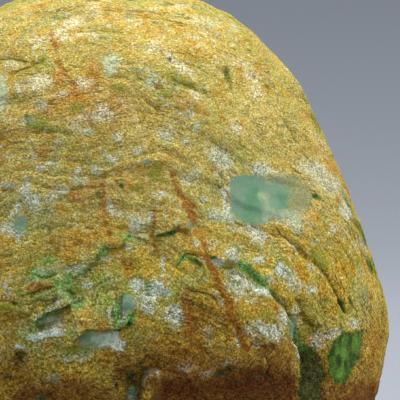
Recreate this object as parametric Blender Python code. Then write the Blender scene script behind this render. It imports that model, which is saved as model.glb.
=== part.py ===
"""Raw jade boulder: one weathered block of jadeite rock, resting on a small worn foot.

Lengths are in millimetres until the mesh is made, and +Z is up. The stone's axis is x = y = 0, its foot
is z = 0, and its best face looks along -Y. The body is a sphere of directions pushed out to four
hand-drawn outlines. Ledges, pockets and grooves are drawn on each face as seen from a sight point in
front of it, and the rest of the relief follows the stone's arched layering.
"""

import itertools
import math

import bmesh
import bpy
import numpy as np

MM = 0.001

# Outlines of the stone, each a list of (out from the axis, height) from the summit down.
OUTLINES = {
    "right": [(0, 201), (34.5, 196), (61, 180), (78.5, 156), (89, 131), (99, 107), (108, 82),
              (111, 61), (107, 38), (95, 19), (75, 6), (48, -2), (0, -6)],
    "left": [(0, 201), (35.5, 195.5), (62.5, 178.5), (80, 152), (91, 124), (101, 98), (106, 74),
             (105, 54), (98, 32), (84, 14), (62, 2), (36, -4), (0, -6)],
    "front": [(0, 201), (34, 195), (56, 179), (71, 154), (80, 126), (86, 99), (86, 77),
              (79, 53), (66, 31), (51, 14), (34, 2), (18, -4), (0, -6)],
    "back": [(0, 201), (35, 195), (58, 177), (73, 150), (82, 120), (85, 92), (82, 66),
             (75, 42), (63, 22), (48, 7), (30, -2), (0, -6)],
}
HEART_HEIGHT = 82  # the height of the point on the axis that the directions spread from
OUTLINE_STEPS = 12  # steps of the smooth curve between two points of an outline

# Sight points: where each face is drawn from, what it aims at, and the drawing's place there.
SIGHTS = {
    "front": ((36, -1300, 230), (36, 0, 116)),
    "right": ((1300, 0, 100), (0, 0, 100)),
    "back": ((0, 1300, 100), (0, 0, 100)),
    "left": ((-1300, 0, 100), (0, 0, 100)),
}

# Ledges: the high side is on the left of the line's run. Each has its line (across, up), how far the
# high side rises, how far the low side drops, and how far from the line each of these reaches.
LEDGES = {
    "front": [
        ([(-19.8, 55), (-17, 57.2), (-14.8, 59), (-13.8, 61.6), (-12, 63), (-9.2, 65), (-5, 64.8), (0, 64.4),
          (3, 64.4), (6, 66.2), (9, 69.9)], 2.6, 3.4, 9, 9),
        ([(-31.5, 65.8), (-28.9, 68.4), (-25.7, 70.8), (-22, 72.6), (-18.4, 73.8), (-15, 75)],
         2.2, 3.2, 7, 7),
        ([(-60, 72), (-44, 71), (-31, 70.5)], 1.0, 1.4, 6, 6),
        ([(40, 93.6), (45, 91.4), (50, 90.6), (55.2, 88.9), (58, 86.8), (60, 84.4), (63.4, 81)],
         1.6, 2.0, 9, 7),
        ([(70, 28), (73, 34), (75, 40), (76.8, 45), (77.6, 50), (77, 54.5), (74.5, 57.5), (72.6, 60),
          (73.3, 63), (72.8, 66.5), (70.8, 69), (71.2, 72.5)], 2.6, 7.0, 8, 9),
        ([(74, 78.8), (77.5, 74.2), (81.2, 70), (84.8, 66), (87, 63.4)], 1.2, 1.8, 6, 5),
        ([(21, 48), (17, 47.8), (14.6, 46.4), (13, 43), (12, 36)], 3.0, 3.0, 8, 6),
        ([(-12, 86), (-6, 92), (0, 97), (8, 99)], 0.9, 1.2, 7, 5),
        ([(17, 100), (22, 103), (27, 105.5), (33, 103)], 0.9, 1.2, 7, 5),
    ],
    "right": [
        ([(14, 100), (30, 108), (50, 104), (66, 92)], 1.8, 2.6, 9, 9),
        ([(18, 56), (32, 62), (48, 56), (64, 44)], 2.2, 3.4, 9, 10),
        ([(16, 148), (34, 146), (52, 132)], 1.4, 2.0, 8, 8),
    ],
    "back": [
        ([(-70, 60), (-44, 74), (-12, 82), (20, 76), (44, 60)], 2.6, 4.0, 14, 14),
        ([(-30, 118), (0, 130), (30, 126), (58, 108)], 1.8, 2.6, 12, 10),
        ([(24, 52), (38, 40), (44, 24)], 1.8, 3.2, 9, 10),
        ([(-48, 150), (-28, 160), (-2, 164)], 1.2, 1.8, 9, 8),
    ],
    "left": [
        ([(-56, 74), (-28, 84), (4, 86), (30, 76)], 2.2, 3.2, 12, 12),
        ([(-30, 130), (-4, 140), (28, 134)], 1.4, 2.2, 10, 9),
        ([(10, 48), (34, 54), (54, 46)], 1.6, 2.6, 9, 9),
    ],
}

# Swells and hollows: (across, up) of the middle, half-lengths along and across, tilt in degrees, height.
SWELLS = {
    "front": [
        (81, 53, 19, 8, 100, -6.0),
        (95, 52, 14, 6, 80, -1.4),
        (50, 48, 24, 17, 20, 2.0),
        (18, 40, 8, 7, 80, 1.6),
        (8, 42, 9, 4, 80, -2.2),
        (-4, 72, 13, 7, 20, 1.6),
        (-2, 58, 15, 6, 5, -1.6),
        (62, 116, 22, 13, -8, -1.2),
        (-38, 110, 10, 12, 90, -1.4),
        (-36.4, 54, 2.4, 2.4, 0, -2.4),
        (-24, 60, 11, 4, 8, 1.4),
        (-16, 69, 11, 3.6, 12, 1.4),
        (56, 72, 13, 9, -30, 1.2),
        (45, 48, 4, 2, 35, -1.6),
        (20, 146, 18, 8, -25, -1.2),
        (84, 108, 20, 9, -55, 1.2),
    ],
    "right": [(34, 80, 24, 16, 20, 2.0), (30, 130, 20, 12, -20, -2.0), (40, 34, 20, 9, 0, -2.4)],
    "back": [(10, 100, 36, 20, 15, 2.4), (-40, 40, 26, 14, 0, 2.2), (40, 90, 18, 12, -30, -2.6),
             (-30, 100, 18, 12, 30, -2.0)],
    "left": [(0, 110, 30, 18, -10, 2.0), (30, 62, 20, 12, 20, -2.2), (-40, 50, 22, 12, 0, 1.8)],
}

# Grooves: their line, depth and half-width.
GROOVES = {
    "front": [
        ([(63.4, 81), (66.6, 76.6), (70, 73.8), (73, 70)], 2.0, 1.8),
        ([(1, 81), (3, 76), (3, 70), (2, 65)], 1.0, 1.6),
        ([(9.5, 74), (8, 70), (6, 66), (3, 63.5)], 1.2, 1.8),
        ([(79, 94), (87, 86), (93, 74), (98.5, 68)], 1.2, 1.6),
        ([(66, 106), (74, 98), (79, 91)], 1.2, 1.6),
        ([(23.8, 164.6), (28.3, 161.7), (34.7, 160.3)], 0.7, 1.6),
        ([(-25, 173), (-31, 170.5), (-36, 168.5), (-41, 165)], 0.6, 1.6),
        ([(11.4, 158), (14.6, 155.3), (18.3, 153), (20, 151.6)], 0.7, 1.6),
        ([(15.5, 55), (12.4, 50), (9, 47.5)], 1.0, 1.6),
    ],
}

STEP_HALF_WIDTH = 0.8  # half the width of a ledge's step
LINE_FADE = 0.13  # share of a drawn line's length over which it fades in at each end
WANDER = ((9, 0.7), (3.5, 0.4))  # (size, reach) of the unevenness of every drawn line
LAYER_AXIS = (0, 8)  # x and height of the line that the arched layers bend around
BROAD_WAVES = ((58, 2.2), (27, 1.0))  # (size, height) of the broad unevenness
TERRACES = ((15, 0.8), (8, 0.4))  # (spacing, height) of the low ledges along the layering
TERRACE_STEP = 0.12  # share of a layer's spacing that its step takes
ARCH_BENDS = ((40, 6), (13, 2))  # (size, reach) of the unevenness of the layers
FINEST_LEVEL = 8  # subdivisions of the sphere that is shaped
KEPT_SHARE = 0.0283  # share of the shaped triangles that is kept
FOOT_CUTTER = (300, 300, 60)  # size of the block that cuts the worn foot flat

SKIN_COLOUR = (0.40, 0.30, 0.10, 1)
SKIN_ROUGHNESS = 0.75


def hashed(cells, seed):
    """A repeatable scrambled whole number for each lattice cell."""
    mixed = cells[:, 0] * 73856093 ^ cells[:, 1] * 19349663 ^ cells[:, 2] * 83492791 ^ seed * 2971215073
    for _ in range(2):
        mixed = (mixed ^ (mixed >> 16)) * 0x45D9F3B & 0xFFFFFFFF
    return mixed ^ (mixed >> 16)


def noise(points, size, seed):
    """Smooth noise, from about -1 to 1, whose bumps are this many millimetres across."""
    lattice = np.floor(points / size).astype(np.int64)
    part = points / size - lattice
    fade = part**3 * (part * (part * 6 - 15) + 10)
    total = np.zeros(len(points))
    for corner in itertools.product((0, 1), repeat=3):
        bits = hashed(lattice + corner, seed)
        slope = np.stack([(bits >> shift & 255) / 127.5 - 1 for shift in (0, 8, 16)], axis=1)
        weight = np.where(corner, fade, 1 - fade).prod(axis=1)
        total += weight * (slope * (part - corner)).sum(axis=1)
    return total * 1.5


def eased(value, low, high):
    """0 below low, 1 above high, and smooth between."""
    part = np.clip((value - low) / (high - low), 0, 1)
    return part * part * (3 - 2 * part)


def outline_polar(outline):
    """The smooth curve through an outline's points, as angle and distance from the stone's heart."""
    points = np.array([(-outline[1][0], outline[1][1]), *outline, (-outline[-2][0], outline[-2][1])], float)
    parts = np.arange(OUTLINE_STEPS)[:, None] / OUTLINE_STEPS
    runs = [
        b + parts * ((c - a) + parts * ((2 * a - 5 * b + 4 * c - d) + parts * (3 * b - a - 3 * c + d))) / 2
        for a, b, c, d in zip(points, points[1:], points[2:], points[3:])
    ]
    curve = np.vstack([*runs, points[-2:-1]])[::-1]
    rises = curve[:, 1] - HEART_HEIGHT
    return np.arctan2(rises, curve[:, 0]), np.hypot(curve[:, 0], rises)


def body(directions):
    """The stone without its relief: each direction from its heart pushed out to the four outlines."""
    rise = np.arcsin(np.clip(directions[:, 2], -1, 1))
    flat = np.hypot(directions[:, 0], directions[:, 1]) + 1e-9
    reach = {name: np.interp(rise, *outline_polar(outline)) for name, outline in OUTLINES.items()}
    ends = np.where(directions[:, 0] > 0, reach["right"], reach["left"])
    faces = np.where(directions[:, 1] < 0, reach["front"], reach["back"])
    share = (directions[:, 0] / flat) ** 2
    out = ends * share + faces * (1 - share)
    return directions * out[:, None] + (0, 0, HEART_HEIGHT)


def laid_out(points, normals, sight, aim):
    """Points as seen from a sight: the place of each, across and up, and how fully it faces the sight."""
    sight, aim = np.array(sight, float), np.array(aim, float)
    toward = (aim - sight) / np.linalg.norm(aim - sight)
    across = np.cross(toward, (0, 0, 1))
    across /= np.linalg.norm(across)
    upward = np.cross(across, toward)
    offset = points - sight
    scale = np.linalg.norm(aim - sight) / (offset @ toward)
    places = np.stack([offset @ across * scale + aim @ across, offset @ upward * scale + aim[2]], axis=1)
    return places, eased(-(normals @ toward), 0.02, 0.2)


def line_distance(places, line):
    """How far each place is from a line: the distance, its side (left is positive) and 0 to 1 along it."""
    line = np.array(line, float)
    lengths = np.linalg.norm(np.diff(line, axis=0), axis=1)
    starts = np.concatenate([[0], np.cumsum(lengths)])
    best = np.full(len(places), np.inf)
    side = np.ones(len(places))
    along = np.zeros(len(places))
    for start, end, length, before in zip(line, line[1:], lengths, starts):
        run = (end - start) / length
        offset = places - start
        forward = np.clip(offset @ run, 0, length)
        gap = offset - forward[:, None] * run
        distance = np.hypot(gap[:, 0], gap[:, 1])
        nearer = distance < best
        turned = run[0] * offset[:, 1] - run[1] * offset[:, 0]
        best = np.where(nearer, distance, best)
        side = np.where(nearer, np.where(turned < 0, -1.0, 1.0), side)
        along = np.where(nearer, (before + forward) / starts[-1], along)
    return best, side, along


def ledge(places, line, rise, drop, reach_high, reach_low):
    """A step in the surface: its high side swells up to the line and its low side falls away at it."""
    distance, side, along = line_distance(places, line)
    ends = eased(along, 0, LINE_FADE) * eased(1 - along, 0, LINE_FADE)
    signed = distance * side
    high = rise * np.exp(-np.maximum(signed, 0) / reach_high)
    low = -drop * np.exp(-np.maximum(-signed, 0) / reach_low)
    upper = eased(signed, -STEP_HALF_WIDTH, STEP_HALF_WIDTH)
    nearness = eased(-distance, -3 * max(reach_high, reach_low), 0)
    return ends * nearness * (high * upper + low * (1 - upper))


def swell(places, across, up, half_long, half_wide, tilt, height):
    """A soft mound, or a hollow where its height is negative."""
    turn = math.radians(tilt)
    offset = places - (across, up)
    along = (offset @ (math.cos(turn), math.sin(turn))) / half_long
    wide = (offset @ (-math.sin(turn), math.cos(turn))) / half_wide
    return height * np.exp(-(along**2 + wide**2))


def groove(places, line, depth, half_width):
    """A shallow V along a line, fading at its ends."""
    distance, _, along = line_distance(places, line)
    ends = eased(along, 0, LINE_FADE) * eased(1 - along, 0, LINE_FADE)
    return -depth * np.exp(-((distance / half_width) ** 2)) * ends


def wander(points):
    """How far each point's drawn place strays, across and up."""
    stray = np.zeros((len(points), 2))
    for order, (size, reach) in enumerate(WANDER):
        for axis in (0, 1):
            stray[:, axis] += reach * noise(points, size, 31 + 2 * order + axis)
    return stray


def drawn_relief(points, normals):
    """The height of everything that is drawn on the stone's faces."""
    height = np.zeros(len(points))
    stray = wander(points)
    for face, (sight, aim) in SIGHTS.items():
        places, facing = laid_out(points, normals, sight, aim)
        places += stray
        marks = [ledge(places, *values) for values in LEDGES[face]]
        marks += [swell(places, *values) for values in SWELLS[face]]
        marks += [groove(places, *values) for values in GROOVES.get(face, [])]
        height += facing * sum(marks)
    return height


def cutting_across(points, normals):
    """1 where the surface cuts across the layers, falling to 0 where it runs along one."""
    outward = np.stack([points[:, 0] - LAYER_AXIS[0], 0 * points[:, 1], points[:, 2] - LAYER_AXIS[1]], axis=1)
    outward /= np.linalg.norm(outward, axis=1)[:, None]
    along = (outward * normals).sum(axis=1)
    return eased(np.sqrt(np.clip(1 - along**2, 0, 1)), 0.15, 0.6)


def terraces(points, spacing, height):
    """Low ledges along the arched layering: each layer stands out over the one below it, in patches."""
    arch = np.hypot(points[:, 0] - LAYER_AXIS[0], points[:, 2] - LAYER_AXIS[1]) + 0.1 * points[:, 1]
    for order, (size, reach) in enumerate(ARCH_BENDS):
        arch += reach * noise(points, size, 11 + order)
    part = arch / spacing - np.floor(arch / spacing)
    step = (1 - part) * eased(part, 0, TERRACE_STEP)
    patches = eased(noise(points, 2.4 * spacing, 13), -0.25, 0.4)
    return height * patches * (step - 0.4)


def relief(points, normals):
    """How far each point stands out from the plain body."""
    height = drawn_relief(points, normals)
    for order, (size, rise) in enumerate(BROAD_WAVES):
        height += rise * noise(points, size, order)
    for spacing, rise in TERRACES:
        height += cutting_across(points, normals) * terraces(points, spacing, rise)
    return height


def make_collection(name, hidden=False):
    collection = bpy.data.collections.new(name)
    collection.hide_render = hidden
    bpy.context.scene.collection.children.link(collection)
    return collection


def skin_material():
    """Weathered ochre skin."""
    material = bpy.data.materials.new("weathered_skin")
    material.use_nodes = True
    shader = material.node_tree.nodes["Principled BSDF"]
    shader.inputs["Base Color"].default_value = SKIN_COLOUR
    shader.inputs["Roughness"].default_value = SKIN_ROUGHNESS
    material.diffuse_color = SKIN_COLOUR
    return material


def read_vectors(vertices, name):
    values = np.empty(len(vertices) * 3, np.float32)
    vertices.foreach_get(name, values)
    return values.reshape(-1, 3).astype(float)


def make_boulder(collection):
    """The stone: a fine sphere shaped to the outlines and the relief, kept in as few triangles as hold it."""
    shaped = bmesh.new()
    bmesh.ops.create_icosphere(shaped, subdivisions=FINEST_LEVEL, radius=1)
    mesh = bpy.data.meshes.new("boulder")
    shaped.to_mesh(mesh)
    shaped.free()
    plain = body(read_vectors(mesh.vertices, "co"))
    mesh.vertices.foreach_set("co", plain.ravel())
    mesh.update()
    normals = read_vectors(mesh.vertex_normals, "vector")
    stone = plain + normals * relief(plain, normals)[:, None]
    mesh.vertices.foreach_set("co", (stone * MM).ravel())
    mesh.update()
    mesh.shade_smooth()
    mesh.materials.append(skin_material())
    boulder = bpy.data.objects.new("boulder", mesh)
    collection.objects.link(boulder)
    return boulder


def make_foot_cutter(collection):
    """The block under the stone that wears its foot flat."""
    bpy.ops.mesh.primitive_cube_add(size=1, location=(0, 0, -FOOT_CUTTER[2] / 2 * MM))
    cutter = bpy.context.object
    cutter.name = "foot_cutter"
    cutter.scale = [side * MM for side in FOOT_CUTTER]
    cutter.hide_render = True
    cutter.display_type = "WIRE"
    for other in cutter.users_collection:
        other.objects.unlink(cutter)
    collection.objects.link(cutter)
    return cutter


def main():
    for thing in list(bpy.data.objects):
        bpy.data.objects.remove(thing)
    boulder = make_boulder(make_collection("raw_jade_boulder"))
    cutter = make_foot_cutter(make_collection("cutters", hidden=True))
    thinning = boulder.modifiers.new("thinning", "DECIMATE")
    thinning.ratio = KEPT_SHARE
    foot = boulder.modifiers.new("foot", "BOOLEAN")
    foot.operation = "DIFFERENCE"
    foot.object = cutter


main()
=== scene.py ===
import itertools
import math

import bmesh
import bpy
import numpy as np
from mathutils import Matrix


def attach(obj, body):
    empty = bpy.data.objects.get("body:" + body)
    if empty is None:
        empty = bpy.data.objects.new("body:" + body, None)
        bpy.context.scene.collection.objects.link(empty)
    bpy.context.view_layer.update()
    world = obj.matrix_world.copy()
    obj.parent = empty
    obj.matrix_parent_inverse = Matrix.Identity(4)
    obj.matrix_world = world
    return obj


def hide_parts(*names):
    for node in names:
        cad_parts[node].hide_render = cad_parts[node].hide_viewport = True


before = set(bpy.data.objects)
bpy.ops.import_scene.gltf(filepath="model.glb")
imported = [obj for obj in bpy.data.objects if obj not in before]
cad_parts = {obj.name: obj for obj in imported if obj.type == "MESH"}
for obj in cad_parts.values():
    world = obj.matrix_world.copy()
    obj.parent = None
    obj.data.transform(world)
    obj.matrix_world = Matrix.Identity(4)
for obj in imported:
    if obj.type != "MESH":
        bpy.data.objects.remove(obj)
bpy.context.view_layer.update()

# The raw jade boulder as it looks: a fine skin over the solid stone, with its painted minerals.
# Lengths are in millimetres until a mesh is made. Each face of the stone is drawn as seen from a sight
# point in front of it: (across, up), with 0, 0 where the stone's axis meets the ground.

MM = 0.001

# ---------------------------------------------------------------------------------------------------------
# The form: the same outlines, ledges, swells and grooves as the solid
# ---------------------------------------------------------------------------------------------------------

OUTLINES = {
    "right": [(0, 201), (34.5, 196), (61, 180), (78.5, 156), (89, 131), (99, 107), (108, 82),
              (111, 61), (107, 38), (95, 19), (75, 6), (48, -2), (0, -6)],
    "left": [(0, 201), (35.5, 195.5), (62.5, 178.5), (80, 152), (91, 124), (101, 98), (106, 74),
             (105, 54), (98, 32), (84, 14), (62, 2), (36, -4), (0, -6)],
    "front": [(0, 201), (34, 195), (56, 179), (71, 154), (80, 126), (86, 99), (86, 77),
              (79, 53), (66, 31), (51, 14), (34, 2), (18, -4), (0, -6)],
    "back": [(0, 201), (35, 195), (58, 177), (73, 150), (82, 120), (85, 92), (82, 66),
             (75, 42), (63, 22), (48, 7), (30, -2), (0, -6)],
}
HEART_HEIGHT = 82
OUTLINE_STEPS = 12

SIGHTS = {
    "front": ((36, -1300, 230), (36, 0, 116)),
    "right": ((1300, 0, 100), (0, 0, 100)),
    "back": ((0, 1300, 100), (0, 0, 100)),
    "left": ((-1300, 0, 100), (0, 0, 100)),
}

# Ledges: line, rise of the high (left) side, drop of the low side, reach of each, and overhang.
LEDGES = {
    "front": [
        ([(-19.8, 55), (-17, 57.2), (-14.8, 59), (-13.8, 61.6), (-12, 63), (-9.2, 65), (-5, 64.8), (0, 64.4),
          (3, 64.4), (6, 66.2), (9, 69.9)], 2.6, 3.0, 9, 8, 0.5),
        ([(-31.5, 65.8), (-28.9, 68.4), (-25.7, 70.8), (-22, 72.6), (-18.4, 73.8), (-15, 75)], 2.0, 2.8, 7, 6,
         0.4),
        ([(-60, 72), (-44, 71), (-31, 70.5)], 1.0, 1.4, 6, 6, 0.3),
        ([(40, 93.6), (45, 91.4), (50, 90.6), (55.2, 88.9), (58, 86.8), (60, 84.4), (63.4, 81)], 1.2, 1.2, 9, 7,
         0.0),
        ([(70, 28), (73, 34), (75, 40), (76.8, 45), (77.6, 50), (77, 54.5), (74.5, 57.5), (72.6, 60), (73.3, 63),
          (72.8, 66.5), (70.8, 69), (71.2, 72.5)], 2.6, 6.4, 8, 10, 0.8),
        ([(74, 78.8), (77.5, 74.2), (81.2, 70), (84.8, 66), (87, 63.4)], 1.0, 1.0, 5, 3, 0.3),
        ([(21, 48), (17, 47.8), (14.6, 46.4), (13, 43), (12, 36)], 3.0, 3.0, 8, 6, 1.0),
        ([(-12, 86), (-6, 92), (0, 97), (8, 99)], 0.9, 1.2, 7, 5, 0.4),
        ([(17, 100), (22, 103), (27, 105.5), (33, 103)], 0.9, 1.2, 7, 5, 0.4),
    ],
    "right": [
        ([(14, 100), (30, 108), (50, 104), (66, 92)], 1.8, 2.6, 9, 9, 0.8),
        ([(18, 56), (32, 62), (48, 56), (64, 44)], 2.2, 3.4, 9, 10, 1.0),
        ([(16, 148), (34, 146), (52, 132)], 1.4, 2.0, 8, 8, 0.6),
    ],
    "back": [
        ([(-70, 60), (-44, 74), (-12, 82), (20, 76), (44, 60)], 2.6, 4.0, 14, 14, 1.2),
        ([(-30, 118), (0, 130), (30, 126), (58, 108)], 1.8, 2.6, 12, 10, 0.8),
        ([(24, 52), (38, 40), (44, 24)], 1.8, 3.2, 9, 10, 0.8),
        ([(-48, 150), (-28, 160), (-2, 164)], 1.2, 1.8, 9, 8, 0.5),
    ],
    "left": [
        ([(-56, 74), (-28, 84), (4, 86), (30, 76)], 2.2, 3.2, 12, 12, 1.0),
        ([(-30, 130), (-4, 140), (28, 134)], 1.4, 2.2, 10, 9, 0.6),
        ([(10, 48), (34, 54), (54, 46)], 1.6, 2.6, 9, 9, 0.8),
    ],
}

# Swells and hollows: across, up, half-lengths along and across, tilt in degrees, height.
SWELLS = {
    "front": [
        (81, 53, 19, 8, 100, -6.0),
        (95, 52, 14, 6, 80, -1.4),
        (50, 48, 24, 17, 20, 2.0),
        (18, 40, 8, 7, 80, 1.6),
        (8, 42, 9, 4, 80, -2.2),
        (-4, 72, 13, 7, 20, 1.6),
        (-2, 58, 15, 6, 5, -1.6),
        (62, 116, 22, 13, -8, -1.2),
        (-38, 110, 10, 12, 90, -1.4),
        (-36.4, 54, 2.4, 2.4, 0, -2.4),
        (-24, 62, 9, 2.6, 8, 2.4),
        (1, 58.4, 5, 3, 0, 1.6),
        (7.4, 74.4, 2.6, 3.4, 0, 1.2),
        (-16, 69, 11, 3.6, 12, 1.4),
        (56, 72, 13, 9, -30, 1.2),
        (45, 48, 4, 2, 35, -1.6),
        (20, 146, 18, 8, -25, -1.2),
        (84, 108, 20, 9, -55, 1.2),
    ],
    "right": [(34, 80, 24, 16, 20, 2.0), (30, 130, 20, 12, -20, -2.0), (40, 34, 20, 9, 0, -2.4)],
    "back": [(10, 100, 36, 20, 15, 2.4), (-40, 40, 26, 14, 0, 2.2), (40, 90, 18, 12, -30, -2.6),
             (-30, 100, 18, 12, 30, -2.0)],
    "left": [(0, 110, 30, 18, -10, 2.0), (30, 62, 20, 12, 20, -2.2), (-40, 50, 22, 12, 0, 1.8)],
}

# Grooves: line, depth, half-width. The finer ones are cracks that only the skin has.
GROOVES = {
    "front": [
        ([(63.4, 81), (66.6, 76.6), (70, 73.8), (73, 70)], 2.0, 1.3),
        ([(74, 78.5), (78.5, 73), (82, 68), (85.5, 64.5)], 1.4, 1.0),
        ([(1, 81), (3, 76), (3, 70), (2, 65)], 0.5, 1.3),
        ([(9.5, 74), (8, 70), (6, 66), (3, 63.5)], 0.6, 1.5),
        ([(79, 94), (87, 86), (93, 74), (98.5, 68)], 1.2, 0.9),
        ([(66, 106), (74, 98), (79, 91)], 1.2, 0.9),
        ([(23.8, 164.6), (28.3, 161.7), (34.7, 160.3)], 0.7, 1.0),
        ([(-25, 173), (-31, 170.5), (-36, 168.5), (-41, 165)], 0.6, 0.9),
        ([(11.4, 158), (14.6, 155.3), (18.3, 153), (20, 151.6)], 0.7, 1.0),
        ([(10, 165.8), (15, 161.7)], 0.5, 0.8),
        ([(36, 160), (40, 156)], 0.5, 0.8),
        ([(-46, 172.5), (-38, 172.5), (-33, 171.5)], 0.6, 0.8),
        ([(-46, 76), (-40, 75.5), (-34, 73)], 0.9, 1.0),
        ([(26, 88), (28, 91), (31, 94.5), (35, 94), (39, 92)], 0.8, 0.8),
        ([(18, 101), (22, 103), (25, 105), (30, 105), (33, 103)], 0.6, 0.7),
        ([(31, 80), (35, 79.4), (39, 78.5), (43, 75.3)], 0.7, 0.8),
        ([(-16, 184), (-4, 184.5), (7, 184)], 0.4, 0.8),
        ([(-17, 171), (-12, 169.5), (-9, 169.5)], 0.3, 0.8),
        ([(-38, 154), (-33, 156), (-28, 159)], 0.3, 0.8),
        ([(-44, 152.5), (-41, 154), (-36, 155)], 0.3, 0.8),
        ([(69, 149), (73, 144), (76, 138)], 0.5, 0.7),
        ([(76, 137), (80, 132), (83, 129)], 0.5, 0.7),
        ([(62, 162.5), (65, 160.5)], 0.8, 0.8),
        ([(54.9, 167.7), (58.2, 164.3)], 0.8, 0.8),
        ([(45, 167.6), (46.6, 163), (49.5, 158)], 0.4, 0.8),
        ([(14, 115.8), (20, 115), (25, 115)], 0.3, 0.8),
        ([(45.2, 127.4), (46, 120.6)], 0.5, 0.8),
        ([(50.3, 106.8), (54.6, 105.1), (55.5, 103)], 0.5, 0.8),
        ([(63, 103.6), (65.7, 102.5), (69, 100.2)], 0.8, 0.7),
        ([(72, 99.5), (76, 97), (79, 93), (81, 90)], 0.8, 0.7),
        ([(84.5, 97.5), (87, 94), (90, 90)], 0.7, 0.7),
        ([(79.4, 106.5), (82, 103)], 0.5, 0.7),
        ([(95, 78), (96.4, 75), (99.5, 71.4), (99.5, 67.3)], 0.7, 0.7),
        ([(80, 119), (84, 114), (88, 109)], 0.5, 0.7),
        ([(84, 117), (88, 111)], 0.5, 0.6),
        ([(-11, 106), (-6, 104)], 0.6, 0.7),
        ([(-20, 55), (-17.5, 57)], 1.2, 0.8),
        ([(-44, 119.6), (-39, 121)], 0.5, 0.8),
        ([(55.7, 59), (60, 58), (66, 58.2)], 0.6, 0.8),
        ([(15.5, 55), (12.4, 50), (9, 47.5)], 1.0, 1.2),
        ([(-5.6, 80), (-1, 80.4), (4, 80)], 0.3, 0.8),
        ([(91, 77), (93, 74), (95.3, 71.3)], 0.8, 0.8),
        ([(-31, 86), (-27, 84.6), (-23, 85.4), (-21, 86.6)], 0.7, 0.7),
        ([(-38, 76.5), (-32, 78.5), (-26, 81), (-21, 81.4)], 0.8, 0.7),
        ([(-34, 73.4), (-29, 75.6), (-24, 76.2), (-20.4, 77.4)], 0.7, 0.7),
        ([(-33, 71), (-29, 73.4), (-24, 74.6), (-21, 77)], 0.7, 0.7),
        ([(-15, 74.6), (-12.6, 76), (-10, 75)], 0.8, 0.8),
        ([(-5.8, 73.6), (-5.9, 77), (-5.4, 80)], 0.5, 0.7),
        ([(4.7, 79.4), (4.9, 76), (4.4, 71), (4.6, 66.4)], 0.9, 0.7),
        ([(1.2, 75), (0.6, 71), (1.4, 66)], 0.8, 0.6),
        ([(-20, 80), (-16.4, 79.4), (-14.4, 77.6)], 0.7, 0.7),
        ([(-17.6, 85.6), (-14.6, 84.8), (-11, 87), (-8.6, 89.6), (-6, 91.6)], 0.8, 0.8),
        ([(-6, 91.6), (-5.2, 94), (-2, 96.4), (0.6, 97)], 0.9, 0.8),
        ([(8.6, 80.6), (9, 84), (10.4, 85), (13, 85), (14.8, 83), (14.6, 79.6), (11, 78.6)], 0.3, 0.6),
        ([(13, 78), (16, 77.4), (20, 77.8), (23, 76.8)], 0.6, 0.6),
        ([(46, 86.4), (50, 86.6), (54.6, 84.8), (58, 82), (60.6, 79)], 0.5, 0.6),
        ([(-30, 60.2), (-26, 61), (-21, 61.6), (-17, 62.4)], 0.7, 0.8),
        ([(-14, 72.4), (-17, 70.6), (-18.8, 68.2), (-17.8, 66)], 0.6, 0.7),
        ([(51.6, 66), (50, 62), (52, 58)], 0.5, 0.6),
        ([(60, 55), (63, 51), (62, 45)], 0.9, 0.8),
        ([(76, 66), (79, 62), (82.4, 57)], 0.8, 0.9),
    ],
}

WANDER = ((9, 0.7), (3.5, 0.4), (1.7, 0.35))  # (size, reach) of the unevenness of every drawn line and edge
LAYER_AXIS = (0, 8)
BROAD_WAVES = ((58, 2.2), (27, 1.0))
TERRACES = ((15, 0.8), (8, 0.4))

# The skin's own fine relief.
FISSURES = ((5.4, 0.45, 0.7), (2.9, 0.28, 0.5))  # (spacing, depth, half-width) of the cracks between layers
LUMPS = ((11, 0.45), (6, 0.36), (3.2, 0.4), (1.7, 0.3))  # (size, height) of rounded lumps with creases between

FINEST_LEVEL = 8
FRONT_PULL = 0.25  # how strongly the mesh gathers towards the best face
SKIN_TRIANGLES = 196000


def hashed(cells, seed):
    """A repeatable scrambled whole number for each lattice cell."""
    mixed = cells[:, 0] * 73856093 ^ cells[:, 1] * 19349663 ^ cells[:, 2] * 83492791 ^ seed * 2971215073
    for _ in range(2):
        mixed = (mixed ^ (mixed >> 16)) * 0x45D9F3B & 0xFFFFFFFF
    return mixed ^ (mixed >> 16)


def noise(points, size, seed):
    """Smooth noise, from about -1 to 1, whose bumps are this many millimetres across."""
    lattice = np.floor(points / size).astype(np.int64)
    part = points / size - lattice
    fade = part**3 * (part * (part * 6 - 15) + 10)
    total = np.zeros(len(points))
    for corner in itertools.product((0, 1), repeat=3):
        bits = hashed(lattice + corner, seed)
        slope = np.stack([(bits >> shift & 255) / 127.5 - 1 for shift in (0, 8, 16)], axis=1)
        weight = np.where(corner, fade, 1 - fade).prod(axis=1)
        total += weight * (slope * (part - corner)).sum(axis=1)
    return total * 1.5


def eased(value, low, high):
    """0 below low, 1 above high, and smooth between."""
    part = np.clip((value - low) / (high - low), 0, 1)
    return part * part * (3 - 2 * part)


def outline_polar(outline):
    """The smooth curve through an outline's points, as angle and distance from the stone's heart."""
    points = np.array([(-outline[1][0], outline[1][1]), *outline, (-outline[-2][0], outline[-2][1])], float)
    parts = np.arange(OUTLINE_STEPS)[:, None] / OUTLINE_STEPS
    runs = [
        b + parts * ((c - a) + parts * ((2 * a - 5 * b + 4 * c - d) + parts * (3 * b - a - 3 * c + d))) / 2
        for a, b, c, d in zip(points, points[1:], points[2:], points[3:])
    ]
    curve = np.vstack([*runs, points[-2:-1]])[::-1]
    return np.arctan2(curve[:, 1] - HEART_HEIGHT, curve[:, 0]), np.hypot(curve[:, 0], curve[:, 1] - HEART_HEIGHT)


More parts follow.
